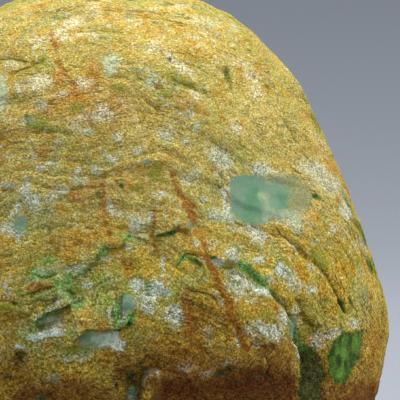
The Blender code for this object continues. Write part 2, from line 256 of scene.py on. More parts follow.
def body(directions):
    """The stone without its relief: each direction from its heart pushed out to the four outlines."""
    rise = np.arcsin(np.clip(directions[:, 2], -1, 1))
    flat = np.hypot(directions[:, 0], directions[:, 1]) + 1e-9
    reach = {name: np.interp(rise, *outline_polar(outline)) for name, outline in OUTLINES.items()}
    ends = np.where(directions[:, 0] > 0, reach["right"], reach["left"])
    faces = np.where(directions[:, 1] < 0, reach["front"], reach["back"])
    share = (directions[:, 0] / flat) ** 2
    out = ends * share + faces * (1 - share)
    return directions * out[:, None] + (0, 0, HEART_HEIGHT)


def laid_out(points, normals, sight, aim):
    """Points as seen from a sight: their places, the across and up directions, how fully each faces it."""
    sight, aim = np.array(sight, float), np.array(aim, float)
    toward = (aim - sight) / np.linalg.norm(aim - sight)
    across = np.cross(toward, (0, 0, 1))
    across /= np.linalg.norm(across)
    upward = np.cross(across, toward)
    offset = points - sight
    scale = np.linalg.norm(aim - sight) / (offset @ toward)
    places = np.stack([offset @ across * scale + aim @ across, offset @ upward * scale + aim[2]], axis=1)
    return places, across, upward, eased(-(normals @ toward), 0.02, 0.2)


def line_distance(places, line):
    """Distance from a line, side of it (left is positive), 0 to 1 along it, and its left-hand direction."""
    line = np.array(line, float)
    lengths = np.linalg.norm(np.diff(line, axis=0), axis=1)
    starts = np.concatenate([[0], np.cumsum(lengths)])
    best = np.full(len(places), np.inf)
    side = np.ones(len(places))
    along = np.zeros(len(places))
    left = np.zeros((len(places), 2))
    for start, end, length, before in zip(line, line[1:], lengths, starts):
        run = (end - start) / length
        offset = places - start
        forward = np.clip(offset @ run, 0, length)
        gap = offset - forward[:, None] * run
        distance = np.hypot(gap[:, 0], gap[:, 1])
        nearer = distance < best
        turned = run[0] * offset[:, 1] - run[1] * offset[:, 0]
        best = np.where(nearer, distance, best)
        side = np.where(nearer, np.where(turned < 0, -1.0, 1.0), side)
        along = np.where(nearer, (before + forward) / starts[-1], along)
        left = np.where(nearer[:, None], (-run[1], run[0]), left)
    return best, side, along, left


def ledge(places, line, rise, drop, reach_high, reach_low, overhang):
    """A step in the surface: its height, and how far its lip leans out over the low side."""
    distance, side, along, left = line_distance(places, line)
    ends = eased(along, 0, 0.12) * eased(1 - along, 0, 0.12)
    signed = distance * side
    high = rise * np.exp(-np.maximum(signed, 0) / reach_high)
    low = -drop * np.exp(-np.maximum(-signed, 0) / reach_low)
    blend = eased(signed, -0.8, 0.8)
    fade = ends * eased(-distance, -3 * max(reach_high, reach_low), 0)
    lean = overhang * ends * blend * np.exp(-np.maximum(signed, 0) / 2.5)
    return fade * (high * blend + low * (1 - blend)), -left * lean[:, None]


def swell(places, across, up, half_long, half_wide, tilt, height):
    """A soft mound, or a hollow where its height is negative."""
    turn = math.radians(tilt)
    offset = places - (across, up)
    along = (offset @ (math.cos(turn), math.sin(turn))) / half_long
    wide = (offset @ (-math.sin(turn), math.cos(turn))) / half_wide
    return height * np.exp(-(along**2 + wide**2))


def groove(places, line, depth, half_width):
    """A crack along a line, fading at its ends."""
    distance, _, along, _ = line_distance(places, line)
    within = np.exp(-((distance / half_width) ** 2)) * eased(along, 0, 0.15) * eased(1 - along, 0, 0.15)
    return -depth * within


def seams(seen, count):
    """Signed distance to the nearest drawn crack or ledge, and how dark it is there: dark crack lines with painted
    shade in them, and painted shade under each ledge's lip.
    """
    nearest = np.full(count, 99.0)
    crack_dark_and_shade = np.zeros(count)
    for face, (places, _, _, facing) in seen.items():
        lines = [(line, 0.2 + 0.5 * min(1, depth)) for line, depth, _ in GROOVES.get(face, [])]
        # the ledges' lines carry painted shade under their lips
        lines += [(line, min(0.8, 0.2 + drop / 7)) for line, _, drop, _, _, _ in LEDGES[face]]
        for line, strength in lines:
            distance, side, along, _ = line_distance(places, line)
            drawn = strength * facing * eased(along, 0, 0.15) * eased(1 - along, 0, 0.15)
            nearer = (distance < np.abs(nearest)) & (facing > 0)
            nearest = np.where(nearer, distance * side, nearest)
            crack_dark_and_shade = np.where(nearer, drawn * (1 - eased(distance, 1.0, 2.2)), crack_dark_and_shade)
    return nearest, crack_dark_and_shade


def across_layers(points):
    """How far each point lies out through the arched layers."""
    arch = np.hypot(points[:, 0] - LAYER_AXIS[0], points[:, 2] - LAYER_AXIS[1]) + 0.1 * points[:, 1]
    return arch + 6 * noise(points, 40, 11) + 2 * noise(points, 13, 12)


def cutting_across(points, normals):
    """1 where the surface cuts across the layers, falling to 0 where it runs along one."""
    outward = np.stack([points[:, 0] - LAYER_AXIS[0], 0 * points[:, 1], points[:, 2] - LAYER_AXIS[1]], axis=1)
    outward /= np.linalg.norm(outward, axis=1)[:, None]
    along = (outward * normals).sum(axis=1)
    return eased(np.sqrt(np.clip(1 - along**2, 0, 1)), 0.15, 0.6)


def terraces(points, layers, spacing, height):
    """Low ledges along the layering: each layer stands out over the one below it, in patches."""
    part = layers / spacing - np.floor(layers / spacing)
    step = (1 - part) * eased(part, 0, 0.12)
    patches = eased(noise(points, 2.4 * spacing, 13), -0.25, 0.4)
    return height * patches * (step - 0.4)


def fissures(points, layers, spacing, depth, half_width):
    """Broken cracks between the layers."""
    wavering = layers + 0.35 * spacing * noise(points, 2.2 * spacing, 21)
    gap = np.abs(wavering / spacing - np.round(wavering / spacing)) * spacing
    patches = eased(noise(points, 3.1 * spacing, 22), -0.1, 0.35)
    return -depth * patches * np.exp(-((gap / half_width) ** 2))


def make_collection(name):
    collection = bpy.data.collections.new(name)
    bpy.context.scene.collection.children.link(collection)
    return collection


# ---------------------------------------------------------------------------------------------------------
# The minerals: where each one shows
# ---------------------------------------------------------------------------------------------------------

# Spots: across, up, half-lengths along and across, tilt in degrees, strength.
SPOTS = {
    "front": {
        "pale": [
            (-28.5, 163.5, 4, 2.2, 10, 1.0), (-32, 160.5, 4, 1.6, -10, 0.7), (-40, 170.5, 4, 1.6, 0, 0.6),
            (-19.5, 183, 3.5, 2, -15, 0.8), (-15, 188, 4, 2, 30, 0.6), (-12.5, 182.5, 2, 1.2, 0, 0.7),
            (-7, 182, 2.5, 1.2, 0, 0.6), (-6, 193, 2.5, 1.6, 0, 0.6), (-29, 180.5, 3.5, 2.2, 20, 0.6),
            (-3.5, 150.5, 3, 2.4, -15, 1.0), (-8, 150, 2.5, 1.5, -50, 0.7), (-11.5, 148.5, 2, 1.2, 0, 0.5),
            (-11.5, 162.5, 2.5, 3, 70, 0.6), (-19, 158.5, 2.5, 1.2, 20, 0.6), (-13, 145, 2, 3, 80, 0.6),
            (-39.5, 149, 2, 3, 70, 0.5), (-34.5, 147, 1.2, 1.2, 0, 0.7), (7, 188, 4, 2, -20, 0.4),
            (-40, 105, 3, 2, 0, 1.0), (-38, 102.5, 3, 1.2, 0, 0.8), (-34, 120, 5, 1.5, 85, 0.8),
            (-31, 115, 3, 2.5, 30, 0.8), (-37, 113, 2.5, 1.5, 80, 0.7), (-42, 122, 2.5, 1, 0, 0.8),
            (-27.5, 129, 2, 1.2, 20, 0.9), (-23, 131, 2.5, 1, 20, 0.8), (-39.5, 134, 2, 1.2, 0, 0.6),
            (-14, 126.5, 1.5, 1.5, 0, 0.7), (-11, 124, 1.5, 1, 0, 0.6), (-19, 120.5, 2.5, 1.2, 20, 0.8),
            (-23, 117, 2.5, 1.5, 30, 0.6), (-12, 128.5, 2, 1, 0, 0.5), (1, 132.5, 3, 1, -30, 0.8),
            (3, 141, 2, 1.5, 30, 0.8), (3.5, 134.5, 1.5, 1, 60, 0.7), (-6, 128.5, 1.5, 1.5, 50, 0.7),
            (0.5, 112.5, 3, 1.2, -70, 0.7), (3.5, 110.5, 1.2, 1, 0, 0.7),
            (24, 172.3, 2.6, 1.4, -50, 0.8), (28, 168, 3, 1.5, -42, 0.8), (32, 165.6, 2.6, 1, -35, 0.7),
            (18.5, 193, 2, 1.2, 0, 0.5), (28, 193.5, 3, 1.5, 0, 0.5), (35, 188.5, 4, 2, -20, 0.5),
            (37, 182, 2.5, 1.5, -20, 0.5), (31, 181, 2, 1, 0, 0.5), (17, 177, 3, 2, 30, 0.5),
            (33.5, 157.5, 2.2, 1.4, -30, 0.9), (31.5, 150.5, 2.6, 1.3, -60, 0.9), (52, 170, 4, 1.8, -20, 0.7),
            (57, 165, 4, 1.8, -50, 0.7), (59, 158.5, 2.6, 2, 0, 0.7), (50.5, 145.5, 2.6, 2, -30, 0.8),
            (23, 142.5, 3, 3, 60, 0.55), (11.5, 136, 1.6, 1.2, 0, 0.9), (31, 139, 1.6, 1, 20, 0.9),
            (44, 134.5, 4, 2.6, -20, 0.75), (47, 127, 3, 3, 0, 0.5), (47.8, 130.5, 1.6, 2, 0, 0.8), (35, 127, 2, 1.5, 0, 0.7),
            (32, 124, 3, 1.5, -30, 0.5), (38.5, 117, 1, 2, -30, 0.6), (21, 118.5, 2.5, 1, 0, 0.7),
            (10.5, 107.5, 3, 4, 0, 0.62), (16.5, 109.5, 1.5, 1.5, 0, 0.8), (23.5, 112, 1.2, 2.5, 0, 0.5),
            (34.8, 99, 1.2, 2, 0, 0.6), (40.5, 98.5, 2, 2.5, 0, 0.5), (48.5, 95, 1.8, 1.2, 0, 0.8),
            (49.4, 92, 1.2, 1.4, 0, 0.6), (50.8, 104.6, 3, 1.2, -15, 0.6), (58.3, 102.7, 3.8, 2.4, -40, 0.95),
            (60.8, 99.6, 3, 1.4, 0, 0.6), (62, 128.3, 5, 1.8, -15, 0.95), (47, 116, 4.4, 1.1, 86, 1.0),
            (43.5, 111, 3, 2.5, 0, 0.5), (88, 103.8, 2, 1.5, 0, 0.6), (73, 97.8, 2, 1.4, -30, 0.5),
            (100.5, 97.5, 2.6, 1.4, -60, 0.6), (96, 97, 2, 1.2, -30, 0.5), (59, 92, 2.5, 2, 0, 0.6),
            (63.5, 84, 2, 1.5, 0, 0.6), (80.5, 89.5, 2.6, 1.2, -50, 0.8), (74, 83, 5, 3.2, -30, 0.55),
            (80.5, 80, 1.5, 1, 0, 0.7), (99.5, 87.5, 1, 2, 0, 0.6), (98.5, 66.5, 2, 1.5, 0, 0.7),
            (86.4, 58.6, 2, 2.8, 15, 0.5), (88.6, 61.8, 4, 1.8, 25, 0.75), (68.4, 68.6, 1.8, 2.6, 0, 0.3),
            (62, 64, 6, 1.8, -4, 0.8), (57, 64.5, 3, 3, 0, 0.75),
            (63, 62, 5, 2, 0, 0.5), (76.4, 53.6, 1.2, 1.8, 0, 0.9), (92.8, 111, 3, 1.6, -55, 1.0),
            (87, 122, 3, 1.5, -60, 0.3), (84, 138, 4, 1.6, -60, 0.35), (77, 139, 3, 1.4, -55, 0.4),
            (11.5, 82, 2.4, 2, 0, 0.95), (18, 80.8, 2.4, 2, 0, 0.9), (21.2, 89, 2.6, 0.9, 90, 0.8),
            (15, 77, 5, 1.4, 0, 0.6), (22.5, 78.6, 1.2, 1.8, 0, 0.8), (15, 72.5, 2.4, 1.8, -30, 0.7),
            (25, 70, 3.2, 3.4, 0, 0.65), (50, 85.4, 2.6, 1.6, -20, 0.95), (60.4, 79, 3.4, 1.5, -20, 1.0),
            (56, 82, 3, 1.8, -30, 0.85), (52, 79.5, 5, 3.5, -30, 0.6), (55, 75.5, 1.6, 1.4, 0, 0.6),
            (-41, 83, 1.4, 1.2, 0, 0.7), (-40.8, 78.4, 1.4, 2.6, 0, 0.8), (-16.4, 88, 1, 1.3, 0, 0.9),
            (-19.6, 79.6, 1.2, 1, 0, 0.7), (-20.6, 75.4, 1.4, 1, 0, 0.8), (-9.6, 82.4, 2.4, 0.9, 20, 0.8),
            (-2.4, 92.6, 2.6, 1, 15, 0.7), (5.6, 72, 1.2, 1.4, 0, 1.0), (2.4, 58.4, 3, 2.4, 0, 0.7),
            (-20, 66.6, 2, 2, 40, 0.7), (-16, 51.8, 6, 1.6, 10, 0.4), (32, 49.4, 5, 2.2, -10, 0.24),
            (38.4, 47, 2, 1.2, 20, 0.35), (44.6, 52, 4.4, 1.8, 10, 0.24),
            (50.6, 60.6, 0.8, 2, 15, 0.9), (57.8, 58.4, 1.4, 0.8, 0, 0.6), (38.6, 62, 2, 3.4, 0, 0.35),
        ],
        "milk": [
            (-43, 158.5, 6.5, 2.6, 82, 0.95), (0.8, 170, 4, 2.8, 60, 0.85), (-28, 154.5, 3, 2.5, 0, 0.5),
            (17, 164, 3, 1.6, 40, 0.6), (41, 186, 2.5, 1.5, -30, 0.6), (50, 184, 2.5, 1.8, -40, 0.6),
            (34.4, 145.8, 1.2, 2, 0, 0.85), (-8.5, 143.5, 2, 1.5, 0, 0.8), (-13.5, 123.5, 3, 2, 0, 0.8),
            (-32, 133.5, 3, 2.5, 0, 0.5), (7.2, 97.4, 1.2, 1, 0, 0.8), (43.5, 91.6, 2.2, 1.4, -30, 0.85),
            (81.2, 98.6, 1.4, 1, 60, 0.7), (68.2, 69.4, 2.8, 3.6, 20, 0.24), (-28, 87.4, 2.4, 1.6, 0, 0.36), (60.6, 79.2, 3, 1.4, -20, 0.7),
            (-12, 88.6, 2, 1.4, 0, 0.7), (-6.4, 89.2, 1.2, 1.2, 0, 0.7), (8, 74.6, 2.4, 2.2, 0, 0.35),
            (-31, 61.2, 1.2, 1.2, 0, 0.8), (-36, 57.2, 1.8, 0.9, 0, 0.9),
            (57.5, 86.6, 3, 0.8, -35, 0.5),
            (73, 108.5, 6, 3.4, -20, 0.7), (86, 58.6, 1.8, 1.8, 15, 0.3), (46, 109.4, 3, 1.8, 0, 0.75), (75, 57.6, 3, 1.1, -40, 0.8),
            (67.5, 89, 2.5, 1.6, 0, 0.5), (33, 188, 3, 2, -20, 0.3),
        ],
        "teal": [
            (-36, 107, 3.4, 2.2, 75, 0.9), (7.4, 77.2, 2.2, 1.2, 0, 0.9), (-23, 86.6, 1.6, 1.6, 0, 0.6),
            (33, 107, 1.8, 1.2, 0, 0.9), (-31, 148, 2.5, 1.5, 0, 0.5), (-14, 64, 1, 1, 0, 0.5),
            (72.4, 64.6, 3.2, 1.5, 90, 0.9), (77.4, 67.4, 2.6, 1.1, -35, 0.8), (80, 49.4, 1.6, 2.4, 0, 0.7),
            (-22.4, 44.4, 2.2, 1.6, 0, 0.6), (7.4, 74.4, 2.6, 2.6, 0, 1.0),
            (8.6, 38, 2, 2, 0, 0.7), (14.6, 131.4, 2, 1, 0, 0.7),
        ],
        "jade": [
            (24.5, 103.2, 2.4, 0.9, 20, 0.9), (34, 91.6, 4, 1.4, -32, 0.85), (41.4, 93.4, 1.4, 0.7, 0, 1.0),
            (37, 146.6, 2.2, 1.6, 0, 0.7), (46.4, 165, 3.2, 1.0, -60, 0.6), (99.5, 103, 5.5, 1.2, -68, 0.8),
            (105.5, 90.5, 3, 1.0, -72, 0.8), (93.2, 74.2, 3.2, 0.8, -55, 0.9), (96.3, 75, 2, 0.7, -60, 0.8),
            (-36.6, 54, 1.6, 1.6, 0, 0.5), (-5.2, 92.6, 2.6, 0.8, 88, 0.4), (-2.4, 95.2, 2.2, 1, 10, 0.4),
            (6, 102.8, 1.4, 0.9, 0, 0.5), (-12.4, 74.6, 2.4, 1, 10, 0.4), (7.4, 66.4, 1.2, 1, -20, 0.5),
            (1.8, 63.6, 2, 0.7, 0, 0.5), (4.5, 122, 1.5, 0.8, 90, 0.6), (-4.5, 118.5, 1.8, 1.2, 90, 0.6),
            (6.5, 101, 2.5, 1.0, 50, 0.5), (-24, 129.5, 2, 0.7, 20, 0.5), (28, 151.6, 1.2, 0.9, 0, 0.5),
            (82, 117.4, 2.2, 0.9, -35, 0.8), (23.4, 171.8, 0.9, 0.9, 0, 0.6), (84.4, 87.6, 1.8, 0.9, -40, 0.6),
            (94.6, 53.6, 4.6, 3, 90, 0.5), (16, 82, 0.9, 2.6, 0, 0.5), (85, 75.4, 2, 1.4, 0, 0.4),
            (84.4, 53.6, 1.6, 2.8, 20, 0.7), (73.4, 69, 1.3, 2, 0, 0.7),
        ],
        "apple": [(99.8, 58.4, 1.1, 3.4, 0, 0.62), (95.2, 54.4, 1.8, 2.2, 30, 0.5), (93.8, 46.2, 1.5, 2, 0, 0.66)],
        "leaf": [
            (-26.6, 91.4, 2.6, 0.9, 5, 0.6), (-31, 86.6, 1, 1, 0, 0.6), (-16, 85.6, 1.4, 0.8, 0, 0.8),
            (-20, 81.8, 4, 1.2, 5, 0.7), (-16.6, 78.4, 1.8, 2.2, 0, 0.65), (-9.6, 87.6, 1.6, 1.4, 0, 0.7),
            (-30.4, 64, 1.4, 1.4, 60, 0.6), (2.8, 70, 0.9, 4, 0, 0.9), (7.8, 68.4, 1.5, 2.8, -20, 0.9),
            (-2.4, 95.2, 2.6, 1.6, 10, 0.7), (-5.2, 92.6, 2.8, 1.6, 88, 0.7), (-13, 74.8, 3, 1.6, 10, 0.8),
        ],
        "olive": [
            (18.4, 127, 3.6, 1.9, 70, 1.0), (12, 121.4, 3.2, 1.5, 10, 1.0), (3.2, 161, 2.6, 1.4, 0, 1.0),
            (-13.5, 153, 3, 1.6, 0, 0.9), (-29, 146.5, 4, 1.8, 10, 0.9), (-33, 157, 5, 2, 10, 0.5),
            (-41, 73.6, 5, 1.6, -5, 0.9), (-14.2, 54.4, 3.4, 1.5, 8, 1.0), (83, 92.4, 4.6, 1.9, -65, 1.0),
            (-12.4, 79.4, 2.2, 2.2, 0, 0.9), (-12.2, 83.8, 1.2, 1.6, 0, 0.8), (23.2, 124, 2.2, 1.2, 0, 0.8),
            (45.8, 128.4, 1, 1, 0, 0.7), (25.5, 164, 2.6, 1.1, -35, 0.8), (31, 161.5, 4, 1.1, -25, 0.9),
            (22.6, 158.4, 1.3, 2.4, 20, 0.8), (-24, 74, 4, 1, 20, 0.6), (61.4, 70.6, 2.4, 3, 0, 0.7),
            (-30, 75.6, 6, 0.9, 5, 0.6), (22, 109.5, 2.5, 2, 0, 0.5), (19, 139, 6, 3, 0, 0.35),
            (54.4, 126.8, 1.2, 1.4, 0, 0.8), (82, 61, 1.6, 4, 10, 0.9), (93, 70.4, 3, 1.4, -40, 0.5),
            (75.6, 122.6, 4.6, 2.4, -10, 0.5), (-8, 57.6, 4, 1, 0, 0.4),
        ],
        "drab": [
            (53, 123.6, 5, 1.8, 0, 0.62), (57, 111, 1.2, 4, 0, 0.4), (10.6, 168, 2.8, 1.1, -10, 0.8), (30.2, 140.6, 1.5, 1.0, 0, 0.7),
            (35, 140, 1.4, 1.8, 0, 0.6), (42.8, 120, 2, 5, 0, 0.5), (-24, 68, 4, 2.4, 25, 0.85),
            (80, 49, 1.8, 5, 5, 0.6), (-19.6, 56.8, 3, 1.2, 30, 0.6), (101, 76, 3, 6, 0, 0.4),
            (61, 64, 3, 2, 0, 0.5), (-21, 135, 3, 1.5, 80, 0.5), (-40, 116, 4, 2, 30, 0.4),
            (38, 84, 2, 2, 0, 0.5), (9.4, 103, 3, 1.4, 0, 0.4), (45, 66, 5, 8, 0, 0.25),
        ],
        "orange": [
            (-22, 179.5, 3.5, 1.6, 80, 0.7), (-21.5, 165, 2.5, 3, 0, 0.6), (-7, 167.5, 4, 3, 0, 0.75),
            (-13.5, 157.5, 4, 2.2, -20, 0.9), (-24, 150, 2.5, 2, 0, 0.7), (-34, 169, 4, 1, 15, 0.6),
            (6.5, 176.5, 3, 1.5, 0, 0.5), (-34, 130, 2, 1, 0, 0.8), (-27, 135, 4, 2.5, 50, 0.8),
            (-43, 133, 2, 3, 0, 0.7), (-24, 141.5, 4, 1, 10, 0.6), (-31, 143, 3, 2, 0, 0.5),
            (-15, 118.5, 2, 2, 0, 0.8), (-8, 121, 3, 3, 0, 0.6), (-10, 117, 3, 3, 0, 0.6),
            (-3, 112, 5, 2, 90, 0.5), (-5, 136.5, 4, 2, 80, 0.6), (-4, 145, 4, 1, 90, 0.5),
            (8.5, 122, 2, 2, 0, 0.7), (21.6, 131.2, 2, 0.9, 0, 0.8), (33.4, 109.4, 1.5, 1, 0, 0.8),
            (36.4, 103.2, 1.8, 1.8, 0, 0.8), (44, 129, 2.6, 1.6, 0, 0.5), (8, 176.4, 3, 1.8, 10, 0.5),
            (38, 143, 3, 1.2, 20, 0.5), (79.5, 148.6, 3, 2, -50, 0.6), (87, 129, 2.4, 1.6, -60, 0.9),
            (91, 125.6, 1.4, 1, -60, 0.7), (80, 103.6, 1.6, 1, 0, 0.6), (90, 98.6, 3, 2, -40, 0.5),
            (76, 88.6, 2.8, 1.1, 0, 0.85), (67, 82.4, 2.6, 1, 0, 0.6), (78.6, 77, 1.5, 1.4, 0, 0.7),
            (66, 74, 1, 1, 0, 0.8), (104.8, 77, 0.8, 1.6, 0, 0.7), (7.6, 87, 1.6, 3.2, 10, 0.7),
            (21.6, 83.6, 0.9, 1.2, 0, 0.8), (-24.6, 58, 2.4, 1.3, -20, 0.9), (-10, 67.6, 1.6, 1.2, 5, 0.6),
            (-2.4, 67.4, 1.4, 1.2, 0, 0.8), (-9.4, 68, 1.2, 1, 0, 0.7), (2.4, 78.6, 1.4, 1, 0, 0.6),
            (-22.6, 84.4, 1.6, 0.7, 20, 0.7), (-28.4, 81.4, 5, 1.7, 12, 1.3), (-40, 67, 7, 1.8, 0, 0.5), (-39, 60, 1.6, 3, 0, 0.5),
            (-28, 71.6, 2, 0.8, 10, 0.4), (88, 84, 4, 2.4, -50, 0.4), (107, 58, 2.4, 8, 0, 0.5),
            (17.6, 59, 1.6, 1, 0, 0.6), (60, 76, 4, 1.4, 0, 0.4), (-2, 53, 2, 2.4, 0, 0.6),
        ],
        "umber": [
            (26.6, 149, 1.2, 0.9, 0, 0.6), (36, 76, 8, 2.4, -20, 0.3), (-36, 48, 8, 3, 0, 0.3),
            (19, 161, 1, 0.8, 0, 0.6), (64, 55, 6, 3, -20, 0.4),
        ],
        # Dark green, partly the jade's own colour, partly painted shade in holes, hollows and at the foot of cracks.
        "deep_green_and_shade": [
            (-36.4, 53.6, 1.6, 1.6, 0, 0.5), (43.4, 46.6, 1.8, 1.2, 30, 1.0), (47, 49.4, 1.8, 1.0, 35, 0.9),
            (9, 44, 2.4, 3, 0, 0.7), (12.6, 49, 1.2, 3.4, 25, 0.6), (-27.6, 37, 3, 1.2, 0, 0.8),
            (-17.6, 56.4, 1, 0.7, 30, 0.8), (58, 46, 3.4, 2, 0, 0.35), (-41, 45, 3, 1.2, -20, 0.5),
        ],
    },
    "right": {
        "pale": [(-30, 128, 12, 5, -30, 0.8), (34, 100, 14, 5, 20, 0.7), (10, 56, 10, 4, 0, 0.8)],
        "jade": [(26, 62, 10, 4, 10, 0.8), (-20, 90, 8, 3, -20, 0.7)],
        "teal": [(30, 128, 9, 6, 10, 0.9)],
        "olive": [(-10, 150, 9, 5, 0, 0.8), (50, 66, 8, 6, 0, 0.7)],
        "orange": [(0, 118, 12, 7, -20, 0.7), (40, 38, 14, 6, 0, 0.6)],
    },
    "back": {
        "pale": [(-40, 96, 16, 6, 20, 0.8), (30, 66, 14, 5, -20, 0.8), (10, 150, 12, 4, 0, 0.7),
                 (60, 100, 8, 5, 60, 0.7)],
        "jade": [(-10, 70, 14, 3.5, 10, 0.9), (52, 84, 8, 3, -50, 0.8), (-56, 70, 8, 4, 40, 0.7)],
        "teal": [(-4, 104, 14, 8, -12, 1.0), (48, 44, 7, 4, 0, 0.8)],
        "olive": [(-30, 130, 10, 6, 0, 0.8), (30, 120, 9, 5, 0, 0.8), (-50, 44, 10, 6, 0, 0.8)],
        "orange": [(20, 96, 14, 6, 40, 0.7), (-20, 160, 14, 6, 0, 0.6), (0, 40, 24, 6, 0, 0.6)],
    },
    "left": {
        "pale": [(-20, 112, 12, 5, 10, 0.8), (40, 70, 10, 5, -30, 0.7)],
        "jade": [(-6, 76, 12, 3, 8, 0.9), (44, 108, 7, 3, -50, 0.7)],
        "teal": [(14, 118, 9, 6, 0, 0.9)],
        "olive": [(-30, 148, 9, 6, 0, 0.8), (20, 150, 8, 5, 0, 0.7)],
        "orange": [(0, 96, 14, 5, 10, 0.7), (-30, 56, 12, 5, 0, 0.6)],
    },
}

# Zones: broad spots and panes that shift the skin under the minerals.
ZONES = {
    "front": {
        "straw": [
            (-11, 69, 9, 3, 8, 0.6), (102, 73, 5, 11, 0, 0.55), (50, 124, 30, 12, 0, 0.74), (-34, 126, 11, 12, 0, 0.6),
            (82, 142, 8, 10, -60, 0.5), (20, 126, 18, 12, 0, 0.4), (58, 150, 22, 12, -40, 0.42), (26, 138, 20, 11, -10, 0.5), (92, 118, 10, 5, -60, 0.2),
            (20, 176, 20, 6, 0, 0.3), (-12, 176, 9, 12, 0, 0.3), (100, 112, 8, 4, -60, 0.3),
        ],
        "khaki": [
            (41, 118, 6, 12, 0, 0.7), (44, 132, 9, 8, 0, 0.4), (34, 126, 6, 8, 0, 0.4), (48, 108, 12, 4, 0, 0.4),
            (84, 68, 9, 5, -30, 0.5), (0, 88, 5, 8, 0, 0.5),
            (-3, 76, 5, 6, 0, 0.6), (40, 150, 10, 8, 0, 0.3), (12, 108, 8, 8, 0, 0.3), (100, 76, 4, 10, 0, 0.5), (-38, 66, 8, 8, 0, 0.5),
        ],
        "grey_green": [
            (-18, 82, 17, 7, 5, 1.0), (-26, 90, 9, 4, 0, 0.6), (-32, 68, 8, 6, 20, 0.4), (-26, 62, 10, 6, 10, 0.65), (16, 78, 12, 6, -10, 0.7),
            (66, 66, 8, 5, 0, 0.5), (-6, 90, 7, 6, 0, 0.55), (12, 62, 9, 4, 0, 0.3), (-30, 76, 12, 4, 5, 0.45), (-12, 54.6, 7, 2.4, 8, 0.8),
            (10, 100, 12, 4, 10, 0.35), (70, 88, 9, 4, -40, 0.45), (-36, 54, 8, 5, 0, 0.4), (55, 82, 9, 4, -35, 0.6), (-8, 58, 9, 4, 5, 0.5), (5, 72, 5, 7, 0, 0.6), (-3, 76, 4, 5, 0, 0.75),
            (24, 71, 5, 6, 0, 0.4), (56, 96, 14, 7, -10, 0.3), (54, 133, 14, 6, -10, 0.3), (-33, 112, 7, 9, 0, 0.35), (33, 84, 5, 3, 0, 0.4),
        ],
        "ochre": [
            (-6, 157, 18, 11, -10, 0.36), (62, 72, 6, 4, 0, 0.6), (-42, 64, 8, 7, 0, 0.24), (24, 60, 9, 6, 0, 0.4),
            (46, 72, 4, 9, 20, 0.5),
        ],
        "umber": [
            (38, 67, 5, 9, 0, 0.62), (100, 46, 9, 9, 0, 0.5), (62, 72, 5, 4, 0, 0.3), (47, 70, 4, 8, 10, 0.4),
            (34, 49, 27, 8, 0, 0.78), (64, 52, 14, 10, 10, 0.6), (32, 64, 2.4, 9, 10, 0.55), (16, 52, 3, 6, 0, 0.4), (-40, 50, 9, 7, 0, 0.5), (8, 56, 9, 4, 0, 0.3),
            (-24, 76, 12, 1.4, 10, 0.35), (-26, 41, 18, 5, -10, 0.6), (6, 47, 5, 6, 0, 0.6), (56, 60, 4, 3, 0, 0.5),
            (86, 46, 11, 9, 0, 0.62), (53, 60, 2, 5, 10, 0.6),
            (106, 64, 6, 10, 0, 0.36), (66, 66, 8, 9, 0, 0.3),
        ],
        "dark_umber": [
            ([(17, 43), (22, 45), (30, 46), (38, 44.6), (44, 45.6), (48.8, 49.6), (56, 52), (62.4, 49.6), (68, 47.4),
              (74.4, 46.6), (76, 43), (74, 34), (70, 28), (17, 28)], 4.2, 0.96),
            (44, 34, 38, 9, 0, 0.7), (10, 40, 5, 9, 10, 0.55), (-4, 35, 18, 7, 0, 0.55),
            (-28, 37, 9, 3, 0, 0.6), (94, 40, 16, 4, 0, 0.4),
        ],
    },
}

